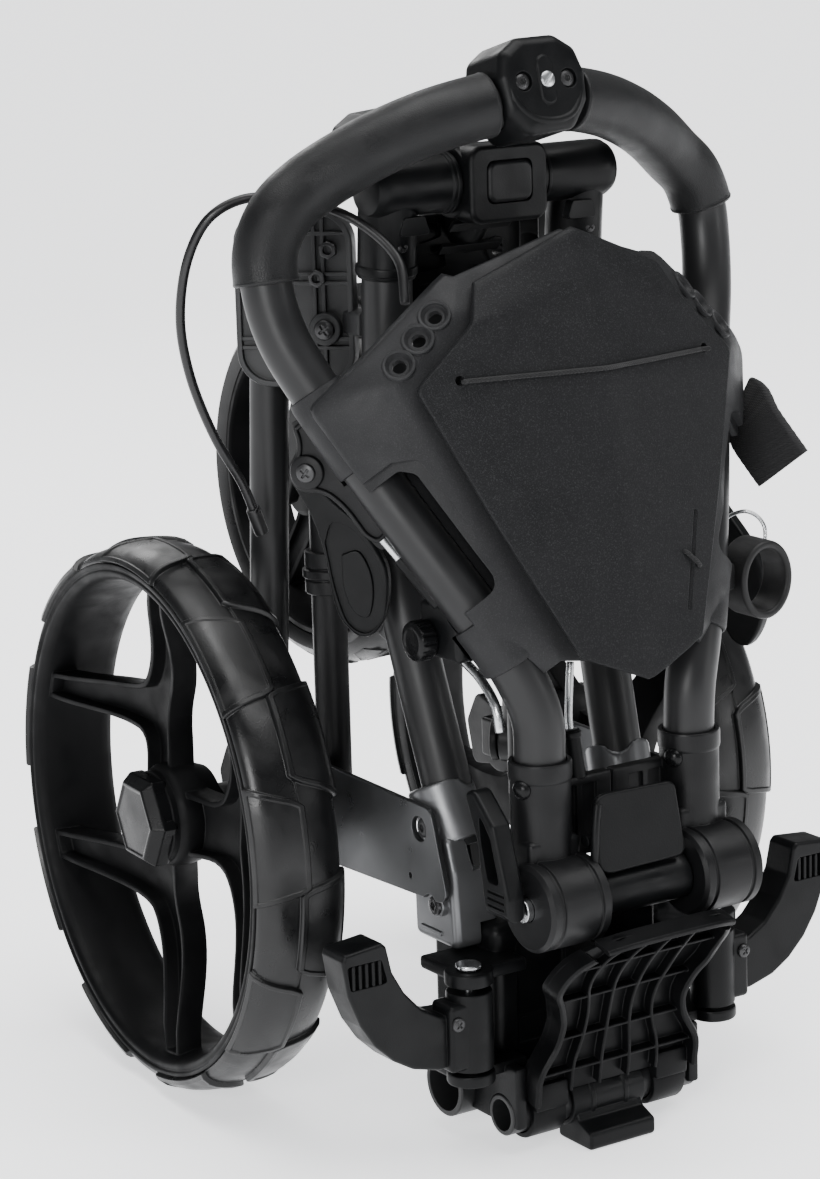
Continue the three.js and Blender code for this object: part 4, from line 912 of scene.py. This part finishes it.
piece("clamp_screw_v", screw(LBk(0, 3, 30.4), tuple(ZB), 4.0, 1.4, "slot"), "mat_steel", "handle", "clamp_screw")
for x in (-13, 13):
    piece("clamp_hex_%s" % ("l" if x < 0 else "r"), screw(LBk(x, 3, 27.0), tuple(ZB), 4.2, 1.8, "hex"), "mat_black_steel", "handle")

sk = union(lathe([(0, 140), (13, 140), (14.8, 142), (14.8, 196.4), (15.3, 197), (15.5, 198.2), (15.5, 204.8), (15.0, 206), (0, 206)], 56, (-45, -212, 0), (0, 0, 1)),
           lathe([(0, 0), (19.5, 0), (21.5, 1.6), (21.5, 5.4), (20.4, 6), (20.4, 7.6), (21.5, 8.2), (21.5, 28), (20.4, 28.6), (20.4, 30), (21.5, 30.6), (21.5, 34.4), (19.5, 36), (0, 36)], 60, (-64, HY, HZ), (1, 0, 0)),
           box((-45, -216, 156), (30, 16, 26), bv=3, seg=3), box((-20.2, -206, 172), (39.4, 7, 40), bv=1.4))
sk = cut(sk, cyl((-80, HY, HZ), (80, HY, HZ), 6.35, 0), cyl((-45, -212, 175.6), (-45, -212, 215), 13.2, 0, 48))
sk = cut(sk, *[box((-26 + 12 * k, -210, 173), (9, 5, 30), bv=1) for k in (0, 1)])
pair("handle_socket_v", sk, "mat_cast", "handle", ("handle_socket",))
dome = lambda p, d: lathe([(0, -3), (5, -3), (5, 0), (4.7, 1.3), (3.7, 2.5), (2.1, 3.2), (0, 3.5)], 32, p, d)
piece("socket_dome_l", dome((-58.9, -216.4, 194), (-0.95, -0.3, 0)), "mat_cap", "handle")
piece("socket_dome_r", dome((31.4, -217.2, 194), (-0.93, -0.36, 0)), "mat_cap", "handle")

lat = union(prism(fillet([(-29, -19), (24, -18), (23, 19), (-26, 20)], [9, 5, 5, 9], 5), 4, (0, -231, 168), (1, 0, 0), (0, 0.2, 1), 1.4, 3), sweep([(-26.4, -232.6, 185), (-28.6, -234, 176), (-29.6, -234.6, 166), (-29.4, -233.4, 156), (-27.6, -231.6, 150.6)], 2.0, 14, 40), box((0, -227, 164), (40, 8, 6), bv=1.4), cyl((-27.5, -223, 164), (27.5, -223, 164), 3.2, 0.4))
lat = cut(lat, prism(rounded(30, 9, 4, 5), 4, (0, -234.2, 176), (1, 0, 0), (0, 0.2, 1), 0.4))
for k in range(3):
    lat = union(lat, prism(rounded(32, 1.8, 0.8, 3), 5.6, (0, -229.8, 158 + 4.2 * k), (1, 0, 0), (0, 0.2, 1), 0.4))
piece("pull_latch_v", lat, "mat_plastic", "latch", "pull_latch")
lv = prism(fillet([(-9, -8), (-9, 6), (2, 40), (18, 55), (26, 52), (16, 30), (12, 4), (8, -9)], 5, 6), 11, (-73.5, -222, 140), (0, 1, 0), (0, 0, 1), 2.2, 4)
lv = cut(lv, prism(fillet([(-3, 12), (4, 34), (14, 46), (12, 30), (7, 12)], 2.5, 4), 14, (-77, -222, 140), (0, 1, 0), (0, 0, 1), 0))
lv = cut(lv, *[box((-79.5, -222 + 0.5, 134 + 3.4 * k), (3, 14, 1.4), bv=0.3) for k in range(5)])
lv = cut(lv, both(cut(box((-73.5, -222, 129.9), (14, 40, 20), bv=0), cyl((-73.5, -250, 140), (-73.5, -190, 140), 5.4, 0, 32))))
piece("cam_lever_v", lv, "mat_plastic", "lever", "cam_lever")

# ------------------------------------------------------------------ console and cover
def trk(pts, v, z0, z1):
    z = z0 + (z1 - z0) * min(max(v, 0), 1)
    zs = [p[2] for p in pts][::-1]
    return V(float(np.interp(z, zs, [p[0] for p in pts][::-1])), float(np.interp(z, zs, [p[1] for p in pts][::-1])), z)


def smooth_trk(pts, v, z0, z1, d=0.013):
    d = min(d, v, 1 - v) if 0 < v < 1 else 0
    return sum((trk(pts, v + d * k, z0, z1) for k in (-1, -0.5, 0, 0.5, 1)), V(0, 0, 0)) / 5


def fillet3(P, R, n=4):
    out = []
    k = len(P)
    for i in range(k):
        p, a, b = P[i], P[i - 1], P[(i + 1) % k]
        if R[i] <= 0:
            out.append(p.copy()); continue
        u, w = a - p, b - p
        t = R[i]
        A = p + u.normalized() * min(t, u.length * 0.45)
        B = p + w.normalized() * min(t, w.length * 0.45)
        for q in range(n + 1):
            s = q / n
            out.append(A * (1 - s) ** 2 + p * 2 * s * (1 - s) + B * s * s)
    return out


RID = [(0, -180, 451), (0, -205, 387), (0, -219, 318), (0, -234, 250)]
CRE = [(-58, -173, 434), (-68, -184, 418), (-99, -184, 388), (-71, -208, 320), (-40, -229, 256)]
EDG = [(-63, -167, 435), (-112, -161, 394), (-130, -151, 377), (-119, -166, 352), (-89, -197, 296), (-72, -211, 266), (-48, -218, 248)]
mir = lambda p: V(-p.x, p.y, p.z)


def con_ring(v, shrink=0.0):
    R = smooth_trk(RID, v, 452, 250) + V(0, 4, 0)
    C = smooth_trk(CRE, v, 434, 256) + V(0, 4, 0)
    E = smooth_trk(EDG, v, 435, 248, 0.018)
    o = V(-0.62, -0.78, 0)
    mids = [C.lerp(E, t) + o * (2.0 * 4 * t * (1 - t) * min((C - E).length / 35, 1)) for t in (0.25, 0.5, 0.75)]
    E1, E2 = E + V(2.2, 5.6, 0), E + V(5, 9, 0)
    Ci, Ri = C + V(1.7, 3.2, 0), R + V(0, 3.2, 0)
    half = [C, *mids, E, E1, E2]
    rad = [3.0, 0, 0, 0, 5.0, 3.0, 1.2]
    P = [R] + half + [Ci, Ri] + [mir(Ci)] + [mir(p) for p in reversed(half)]
    q = [3.5] + rad + [1.0, 1.0, 1.0] + rad[::-1]
    if shrink:
        M = [(R + Ri) / 2] + [(C + Ci) / 2, *[m_ + V(0.8, 1.8, 0) for m_ in mids], E + V(2.6, 4.4, 0), E + V(2.8, 5, 0), E + V(3.2, 6, 0)] + [(C + Ci) / 2, (R + Ri) / 2] + [mir((C + Ci) / 2)]
        M = M + [mir(p) for p in reversed(M[1:8])]
        P = [p.lerp(m_, shrink) for p, m_ in zip(P, M)]
    return fillet3(P, q)


vs = sorted(set([round(x, 4) for x in np.linspace(0, 1, 58)]))
rings = [[p + V(0, 0, 0) for p in con_ring(0, 0.45)]] + [[p + V(0, 0, -0.4) for p in con_ring(0, 0.12)]] + [con_ring(v) for v in vs[1:-1]] + [[p + V(0, 0, 0.4) for p in con_ring(1, 0.12)]] + [con_ring(1, 0.45)]
con = loft(rings)


def winp(s, grow=0.0, depth=44):
    n = V(s * 0.62, -0.78, 0.1).normalized()
    u = V(s * 0.4, 0.44, 0.8).normalized()
    w = n.cross(u)
    o = fillet([(-36 - grow, -17 - grow), (30 + grow, -17 - grow), (36 + grow, -11), (36 + grow, 40), (-36 - grow, 40)], [9, 6, 4, 0, 0], 6)
    return prism([(p, -s * q) for p, q in o], depth, (s * 84, -180, 311), tuple(u), tuple(w), 0)


con = cut(con, winp(-1), winp(1))
for sg in (-1, 1):
    n_ = V(sg * 0.62, -0.78, 0.1).normalized()
    con = cut(con, moved(winp(sg, 5.5, 24), Matrix.Translation(n_ * 24.4)))
chs = []
for sg in (-1, 1):
    LL = loopL if sg < 0 else [mx(p) for p in loopL]
    for a_, b_ in ((0.187, 0.25), (0.46, 0.56)):
        chs.append(sweep(sub(LL, a_, b_, 12), 14.6, 40, 12, raw=True, cap=1.5))
chan16 = []
for sg in (-1, 1):
    LL = loopL if sg < 0 else [mx(p) for p in loopL]
    for a_, b_ in ((0.17, 0.25), (0.455, 0.565)):
        chan16.append(sweep(sub(LL, a_, b_, 12), 16, 40, 12, raw=True, cap=0))
wall = [sweep([p + V(-sg_ * 15, 3.5, -2) for p in sub(loopL if sg_ < 0 else [mx(p) for p in loopL], 0.225, 0.465, 18)], 10.5, 24, 24, raw=True, cap=0) for sg_ in (-1, 1)]
con = union(con, *chs, *wall)
con = cut(con, loopClear)
from mathutils.bvhtree import BVHTree


def tree(me):
    return BVHTree.FromPolygons([v.co.copy() for v in me.vertices], [tuple(p.vertices) for p in me.polygons])


ct = tree(con)


def hit(t, o, d):
    r = t.ray_cast(Vector(o), Vector(d).normalized())
    return r[0]


holes = []
for s in (-1, 1):
    for h in ((-79, -182, 418), (-87, -180, 408), (-95, -176, 397)):
        x = abs(h[0])
        A = V(s * (x + 12), h[1] - 16, h[2])
        B = V(s * (x - 12), h[1] + 16, h[2])
        d = (B - A).normalized()
        r_ = ct.ray_cast(A - d * 20, d)
        if r_[0]:
            p, nn = r_[0], -Vector(r_[1]).normalized()
            con = union(con, lathe([(6.0, -1.5), (8.0, -1.5), (8.0, 0.5), (7.6, 0.9), (6.8, 0.9), (6.0, 0.4)], 44, p, -nn, closed=True))
            con = cut(con, cyl(p - nn * 6, p + nn * 14, 3.5, 0, 32), lathe([(0, -8), (6.5, -8), (6.3, -0.5), (4.8, 1.8), (0, 1.8)], 44, p, nn))
    pts = []
    for k in range(15):
        t = k / 14
        z = 422 - 34 * t
        C = trk(CRE, (434 - z) / 178, 434, 256)
        E = trk(EDG, (435 - z) / 187, 435, 248)
        q = C.lerp(E, 0.2 + 0.08 * t)
        if s > 0:
            q = mir(q)
        p = hit(ct, q - V(s * -0.62, 0.78, 0) * -30 if False else q + V(s * 0.62, -0.78, 0) * 30, V(-s * 0.62, 0.78, 0))
        if p:
            pts.append(p)
piece("console_v", con, "mat_console", "handle", "console", smooth=34, wn=False)

CR_ = [(0, -185, 453), (0, -211, 387), (0, -226, 318), (0, -242, 243)]
CE_ = [(-54, -180, 432), (-62, -190, 414), (-93, -188, 386), (-66, -212, 322), (-36, -236, 258)]


def cov_ring(v, sh=0.0):
    R = smooth_trk(CR_, v, 454, 243)
    E = smooth_trk(CE_, v, 432, 258, 0.011)
    th_ = 3.5
    m1 = R.lerp(E, 0.35) + V(0, -1.0, 0)
    m2 = R.lerp(E, 0.7) + V(0, -0.9, 0)
    P = [R, m1, m2, E, E + V(0.5, th_, 0), R + V(0, th_, 0)]
    P = P + [mir(P[4]), mir(P[3]), mir(m2), mir(m1)]
    if sh:
        M = [p + V(0, th_ / 2, 0) for p in P[:4]] + [P[4] - V(0, th_ / 2, 0), P[5] - V(0, th_ / 2, 0), P[6] - V(0, th_ / 2, 0)] + [p + V(0, th_ / 2, 0) for p in P[7:]]
        P = [p.lerp(m_, sh) for p, m_ in zip(P, M)]
    return fillet3(P, [4.0, 0, 0, 1.3, 1.0, 1.0, 1.0, 1.3, 0, 0], 5)


cov = loft([cov_ring(0, 0.7), [p + V(0, 0, -0.5) for p in cov_ring(0, 0.2)]] + [cov_ring(v) for v in np.linspace(0.008, 0.992, 74)] + [[p + V(0, 0, 0.5) for p in cov_ring(1, 0.2)], cov_ring(1, 0.7)])
cvt = tree(cov)
cpts = []
for k in range(45):
    x = -72 + 144 * k / 44
    p = hit(cvt, (x, -300, 389.3 - 0.5 * abs(x) / 72), (0, 1, 0))
    if p:
        cpts.append(p + V(0, -0.9, 0))
for sg in (-1, 1):
    q = hit(cvt, (sg * 66, -300, 389), (0, 1, 0))
    if q:
        cov = cut(cov, cyl(q + V(sg * 6, -6, 0), q + V(sg * 6, 6, 0), 2.4, 0, 24))
sl = []
for k in range(18):
    t = k / 17
    p = hit(cvt, (46 - 16 * t, -300, 316 - 45 * t), (0, 1, 0))
    if p:
        sl.append(p)
if len(sl) > 4:
    cov = cut(cov, sweep(sl, 1.5, 16, 40, cap=0.8))
tie = [hit(cvt, (x_, -300, z_), (0, 1, 0)) for x_, z_ in ((33, 298), (36, 295.6), (39, 293), (42, 290.4))]
if all(tie):
    piece("slit_cord", sweep([tie[0] + V(0, 1.6, 0), tie[0] + V(0.6, -1.0, 0), *[q_ + V(0, -1.6, 0) for q_ in tie[1:3]], tie[3] + V(-0.6, -1.0, 0), tie[3] + V(0, 1.6, 0)], 1.1, 14, 40, cap=0.4), "mat_web", "handle")
piece("cover_panel_v", cov, "mat_cover", "handle", "cover_panel", smooth=34, wn=False)
cpts = [V(-73, -196.5, 389)] + cpts[1:-1] + [V(73, -196.5, 389)]
piece("elastic_cord_v", sweep(cpts, 1.2, 14, 120, cap=0.4), "mat_web", "handle", "elastic_cord")

# ------------------------------------------------------------------ brackets, bag arms, straps, cable
P9 = [(-123.7, -125.6, 366.7), (-118.8, -131.6, 370.7), (-113.4, -138.3, 358.9), (-102.2, -152.0, 336.7), (-92.2, -164.8, 313.3), (-96.6, -159.1, 306.6), (-106.3, -147.1, 323.4), (-111.5, -140.6, 330.6), (-116.6, -134.4, 333.6), (-122.9, -126.6, 334.3), (-125.3, -123.6, 344), (-122.2, -127.4, 355.3)]
cc = (-114, -137.5, 343)
cl = catmull([*P9, P9[0]], 72)[:-1]
fr2 = [V(*cc)] + [V(*cc).lerp(p, 0.5) for p in cl] + list(cl)
n72 = len(cl)
fq = [(0, 1 + i, 1 + (i + 1) % n72) for i in range(n72)] + [(1 + i, 1 + n72 + i, 1 + n72 + (i + 1) % n72, 1 + (i + 1) % n72) for i in range(n72)]
ab = sheetm([tuple(p) for p in fr2], fq, (4.2, 3.4, 0))
rimpath = [p + V(0, 0, 0) for p in cl[2:46]]
ab = both(cut(ab, loopClear, *chan16), sweep([p.lerp(V(*cc), 0.12) + V(-0.5, -0.4, 0) for p in [*cl, cl[0]]][::3], 1.3, 12, 90), cyl((-121.4, -133.0, 343.2), (-113, -126.2, 343.2), 8.4, 1.2, 36), cyl((-114.5, -127.5, 343.2), (-108, -122.2, 341), 5, 0.8))
pair("arm_bracket_v", ab, "mat_cast", "handle", ("arm_bracket",), wn=False)
pair("arm_screw", screw((-121.4, -133.0, 343.2), (-0.776, -0.631, 0), 4.8, 2.0), "mat_black_steel", "handle")

AP = (-105.2, -108.2, 338)
bo = [(-5, 6), (-7, -4), (1, -20), (7, -38), (11, -62), (15, -73), (23, -80.5), (29, -80.5), (35, -74), (38.5, -63), (38.5, -47), (34, -37), (25, -24), (14, -14), (8, -7), (6, 4)]
bs = c2([*bo, bo[0]], 90)[:-1]
bl = prism(bs, 8, AP, D45, UZ, 2.0, 4, 50)
ri_ = prism(c2([(8, -34), (13, -60), (19, -75), (27, -79), (34, -74), (37, -62), (35, -46), (30, -36), (20, -26), (12, -24), (8, -34)], 60)[:-1], 5, along(AP, -4.6), D45, UZ, 0)
bl = cut(bl, ri_)
bl = union(bl, prism(c2([(16, -40), (17, -58), (22, -69), (28, -71), (31, -62), (30, -48), (24, -38), (16, -40)], 50)[:-1], 4, along(AP, -2.0), D45, UZ, 0.8, 2, 50), cyl(along(AP, -4), along(AP, 6), 7, 1))
piece("bag_arm_left_v", bl, "mat_plastic", "bag_left", "bag_arm_left")
piece("bag_arm_left_screw", screw(along(AP, -4), (-N45[0], -N45[1], 0), 4.4, 1.8), "mat_black_steel", "bag_left")
D2 = (0.35, -0.937, 0)
bo2 = [(-6, 6), (-7, -6), (4, -34), (14, -62), (24, -88), (31, -106), (38, -117), (46, -119), (53, -111), (57, -98), (56, -80), (48, -64), (30, -42), (15, -20), (7, -4), (6, 5)]
b2 = union(prism(c2([*bo2, bo2[0]], 90)[:-1], 8, (124, -99, 338), D2, UZ, 2.0, 4, 50), cyl((119, -101.5, 338), (128, -97, 338), 7, 1))
piece("bag_arm_right_v", b2, "mat_plastic", "bag_right", "bag_arm_right")

tabp = [(125, -155, 348), (123.5, -163, 346.5), (121, -172, 340), (123, -181, 330), (126.5, -187, 321)]
tb = sweep(tabp, 10, n=34, section=[(a, b) for a, b in rounded(34, 5.5, 2.2, 4)], upv=(0.35, -0.3, 0.88))
bm = bmesh.new(); bm.from_mesh(tb)
for v in bm.verts:
    v.co += V(0.35, 0.2, 0) * 0.6 * math.sin(v.co.z * 2.0)
piece("strap_tab_v", mesh_of(bm), "mat_web", "handle", "strap_tab")
o, q = [], []
sr = []
for i in range(73):
    t = i * 2 * math.pi / 72
    sr.append(V(106.0 + 14.2 * math.cos(t) - 0.4, -190, 268.8 + 18 * math.sin(t)))
rg = []
sec = rounded(20, 4.2, 1.8, 4)
for i in range(72):
    t = i * 2 * math.pi / 72
    d = V(math.cos(t), 0, math.sin(t))
    rg.append([sr[i] + V(0, 1, 0) * a + d * b for a, b in sec])
sring = union(loft(rg, loop=True), box((83, -189, 272), (14, 10, 14), bv=2, seg=3))
sring = cut(sring, loopClear, *chan16)
piece("strap_ring_v", sring, "mat_rubber", "handle", "strap_ring")
rod = [(-83, -158, 302), (-73, -163, 286), (-66, -170, 266), (-63, -174, 252), (-61, -187, 243), (-62, -201, 232), (-62, -204, 220)]
piece("tension_rod_v", sweep(rod, 2.4, 24, 70), "mat_steel", "handle", "tension_rod")
tc_ = cut(box((-68, -177, 267), (20, 33, 27), bv=3, seg=3), *chan16, loopClear, sweep(rod, 2.75, 20, 50, cap=0), cyl((-90, -169, 262), (-70, -169, 262), 2.85, 0))
piece("tension_clamp_v", tc_, "mat_plastic", "handle", "tension_clamp")
kn = lathe([(0, 0), (8, 0), (9.4, 0.6), (10, 2), (10, 7.4), (9.4, 8.8), (8, 9.6), (6.4, 9.8), (5.8, 9.2), (0, 9.2)], 60, (-78.4, -169, 262), (-1, 0, 0))
kn = cut(kn, *[cyl((-78, -169 + 10.6 * math.cos(t), 262 + 10.6 * math.sin(t)), (-90, -169 + 10.6 * math.cos(t), 262 + 10.6 * math.sin(t)), 1.3, 0, 14) for t in [k * math.pi / 7 for k in range(14)]])
piece("tension_knob_v", union(kn, cyl((-72, -169, 262), (-79, -169, 262), 2.5, 0.3)), "mat_cap", "knob", "tension_knob")
cab = [(-74, -151, 421), (-71, -141, 441), (-82, -122, 459), (-100, -100, 468), (-121, -86, 470), (-136, -78, 462), (-144, -70, 444), (-146, -62, 414), (-139, -56, 384), (-124, -52, 350), (-108, -50, 324), (-101, -49, 308)]
piece("brake_cable_v", union(sweep(cab, 2.4, 24, 160), cyl((-102.3, -49.2, 311), (-97, -48.5, 297), 3.6, 0.8)), "mat_cable", "handle", "brake_cable")
# ------------------------------------------------------------------ fork block, carry lug, rod end, strap hook and latch rod
fb_ = prism(fillet([(-33, 408), (33, 408), (34, 447), (26, 455), (-26, 455), (-34, 447)], 5, 5), 10, (0, -90, 0), (1, 0, 0), (0, 0, 1), 2.2, 3)
fb_ = cut(fb_, prism(fillet([(-29, 440), (-29, 451), (-15, 450), (-15, 443)], 2.5, 4), 7, (0, -96, 0), (1, 0, 0), (0, 0, 1), 0), prism(fillet([(-29, 426), (-29, 434), (-14, 436), (-12, 428)], 2.5, 4), 7, (0, -96, 0), (1, 0, 0), (0, 0, 1), 0),
          prism(fillet([(-29, 413), (-29, 420), (-12, 421), (-12, 414)], 2.5, 4), 7, (0, -96, 0), (1, 0, 0), (0, 0, 1), 0), cyl((17.5, -110, 434), (17.5, -70, 434), 3.6, 0, 28))
for k in range(5):
    fb_ = union(fb_, prism(rounded(26, 1.8, 0.8, 3), 4.4, (16, -95, 413.5 + 3.2 * k), (1, 0, 0), (0, 0, 1), 0.4))
fb_ = union(fb_, prism(ring(6.4, 24), 3.2, (17.5, -95, 434), (1, 0, 0), (0, 0, 1), 0.5))
fb_ = cut(fb_, cyl((17.5, -110, 434), (17.5, -70, 434), 3.6, 0, 28), mainClear, mirrored(mainClear))
piece("fork_block_v", fb_, "mat_plastic", "front_fork")
lg_ = union(prism(fillet([(-86, 492), (-81, 502), (-72, 508), (-40, 511), (-36, 505), (-40, 496), (-60, 490)], 4, 5), 12, (0, -109, 0), (1, 0, 0), (0, 0, 1), 3, 4), cyl((-68, -109, 499), (-66, -132, 500), 5, 0.8, 30))
lg_ = cut(lg_, sweep(loop, 15.9, 40, 180))
piece("carry_lug_v", lg_, "mat_bracket", "handle")
piece("rod_end", cyl((-97.5, -161.5, 312.5), (-91.5, -167, 302.5), 2.5, 0.4, 28), "mat_steel", "handle")
piece("rod_sleeve", cyl((-91.8, -166.6, 303), (-79.5, -181, 281), 3.3, 0.6, 28), "mat_plastic", "handle")
hook = [(101, -170, 295), (104, -175, 299), (108, -180, 300.5), (112, -184, 298), (114, -187, 293), (113, -189, 286)]
piece("strap_wire", sweep(hook, 1.0, 14, 60, cap=0.3), "mat_steel", "handle")
rod2 = [(-15, -197, 246), (-17.5, -199, 232), (-19.5, -201, 218), (-19.5, -203, 208)]
piece("latch_rod", sweep(rod2, 1.9, 20, 40, cap=0.4), "mat_steel", "handle")
piece("latch_rod_sleeve", union(cyl((-19.5, -202, 214), (-18.5, -206, 190), 4.6, 0.8, 32), cyl((-19.5, -202, 213), (-19.4, -202.4, 210), 5.4, 0.6, 32)), "mat_plastic", "handle")

# ------------------------------------------------------------------ floor and light
wd = bpy.data.worlds.new("world")
bpy.context.scene.world = wd
wd.use_nodes = True
wd.node_tree.nodes["Background"].inputs["Color"].default_value = (0.93, 0.94, 0.96, 1)
wd.node_tree.nodes["Background"].inputs["Strength"].default_value = 0.22
fm = bpy.data.meshes.new("floor")
fm.from_pydata([(-40, -40, 0), (40, -40, 0), (40, 40, 0), (-40, 40, 0)], [], [(0, 1, 2, 3)])
floor = bpy.data.objects.new("floor", fm)
bpy.context.scene.collection.objects.link(floor)
fmat = bpy.data.materials.new("floor_pale")
fmat.use_nodes = True
fb = fmat.node_tree.nodes["Principled BSDF"]
fb.inputs["Base Color"].default_value = (0.86, 0.86, 0.87, 1)
fb.inputs["Roughness"].default_value = 0.75
fb.inputs["Emission Color"].default_value = (0.97, 0.98, 1.0, 1)
fb.inputs["Emission Strength"].default_value = 1.1
fm.materials.append(fmat)
for nm, loc, size, power in (("key", (1.5, -2.0, 0.6), 0.4, 6), ("left", (-1.9, -1.5, 0.95), 0.8, 40), ("top", (-0.5, 0.3, 2.2), 1.2, 18), ("back", (0.4, 2.0, 1.5), 1.0, 14)):
    ld = bpy.data.lights.new(nm, "AREA")
    ld.size = size
    ld.energy = power
    lo = bpy.data.objects.new(nm, ld)
    bpy.context.scene.collection.objects.link(lo)
    lo.location = loc
    lo.rotation_euler = (Vector((0, 0, 0.27)) - Vector(loc)).to_track_quat("-Z", "Y").to_euler()
sd = bpy.data.lights.new("sun", "SUN")
sd.energy = 4.2
sd.angle = math.radians(60)
so = bpy.data.objects.new("sun", sd)
bpy.context.scene.collection.objects.link(so)
so.rotation_euler = (math.radians(14), math.radians(10), 0)
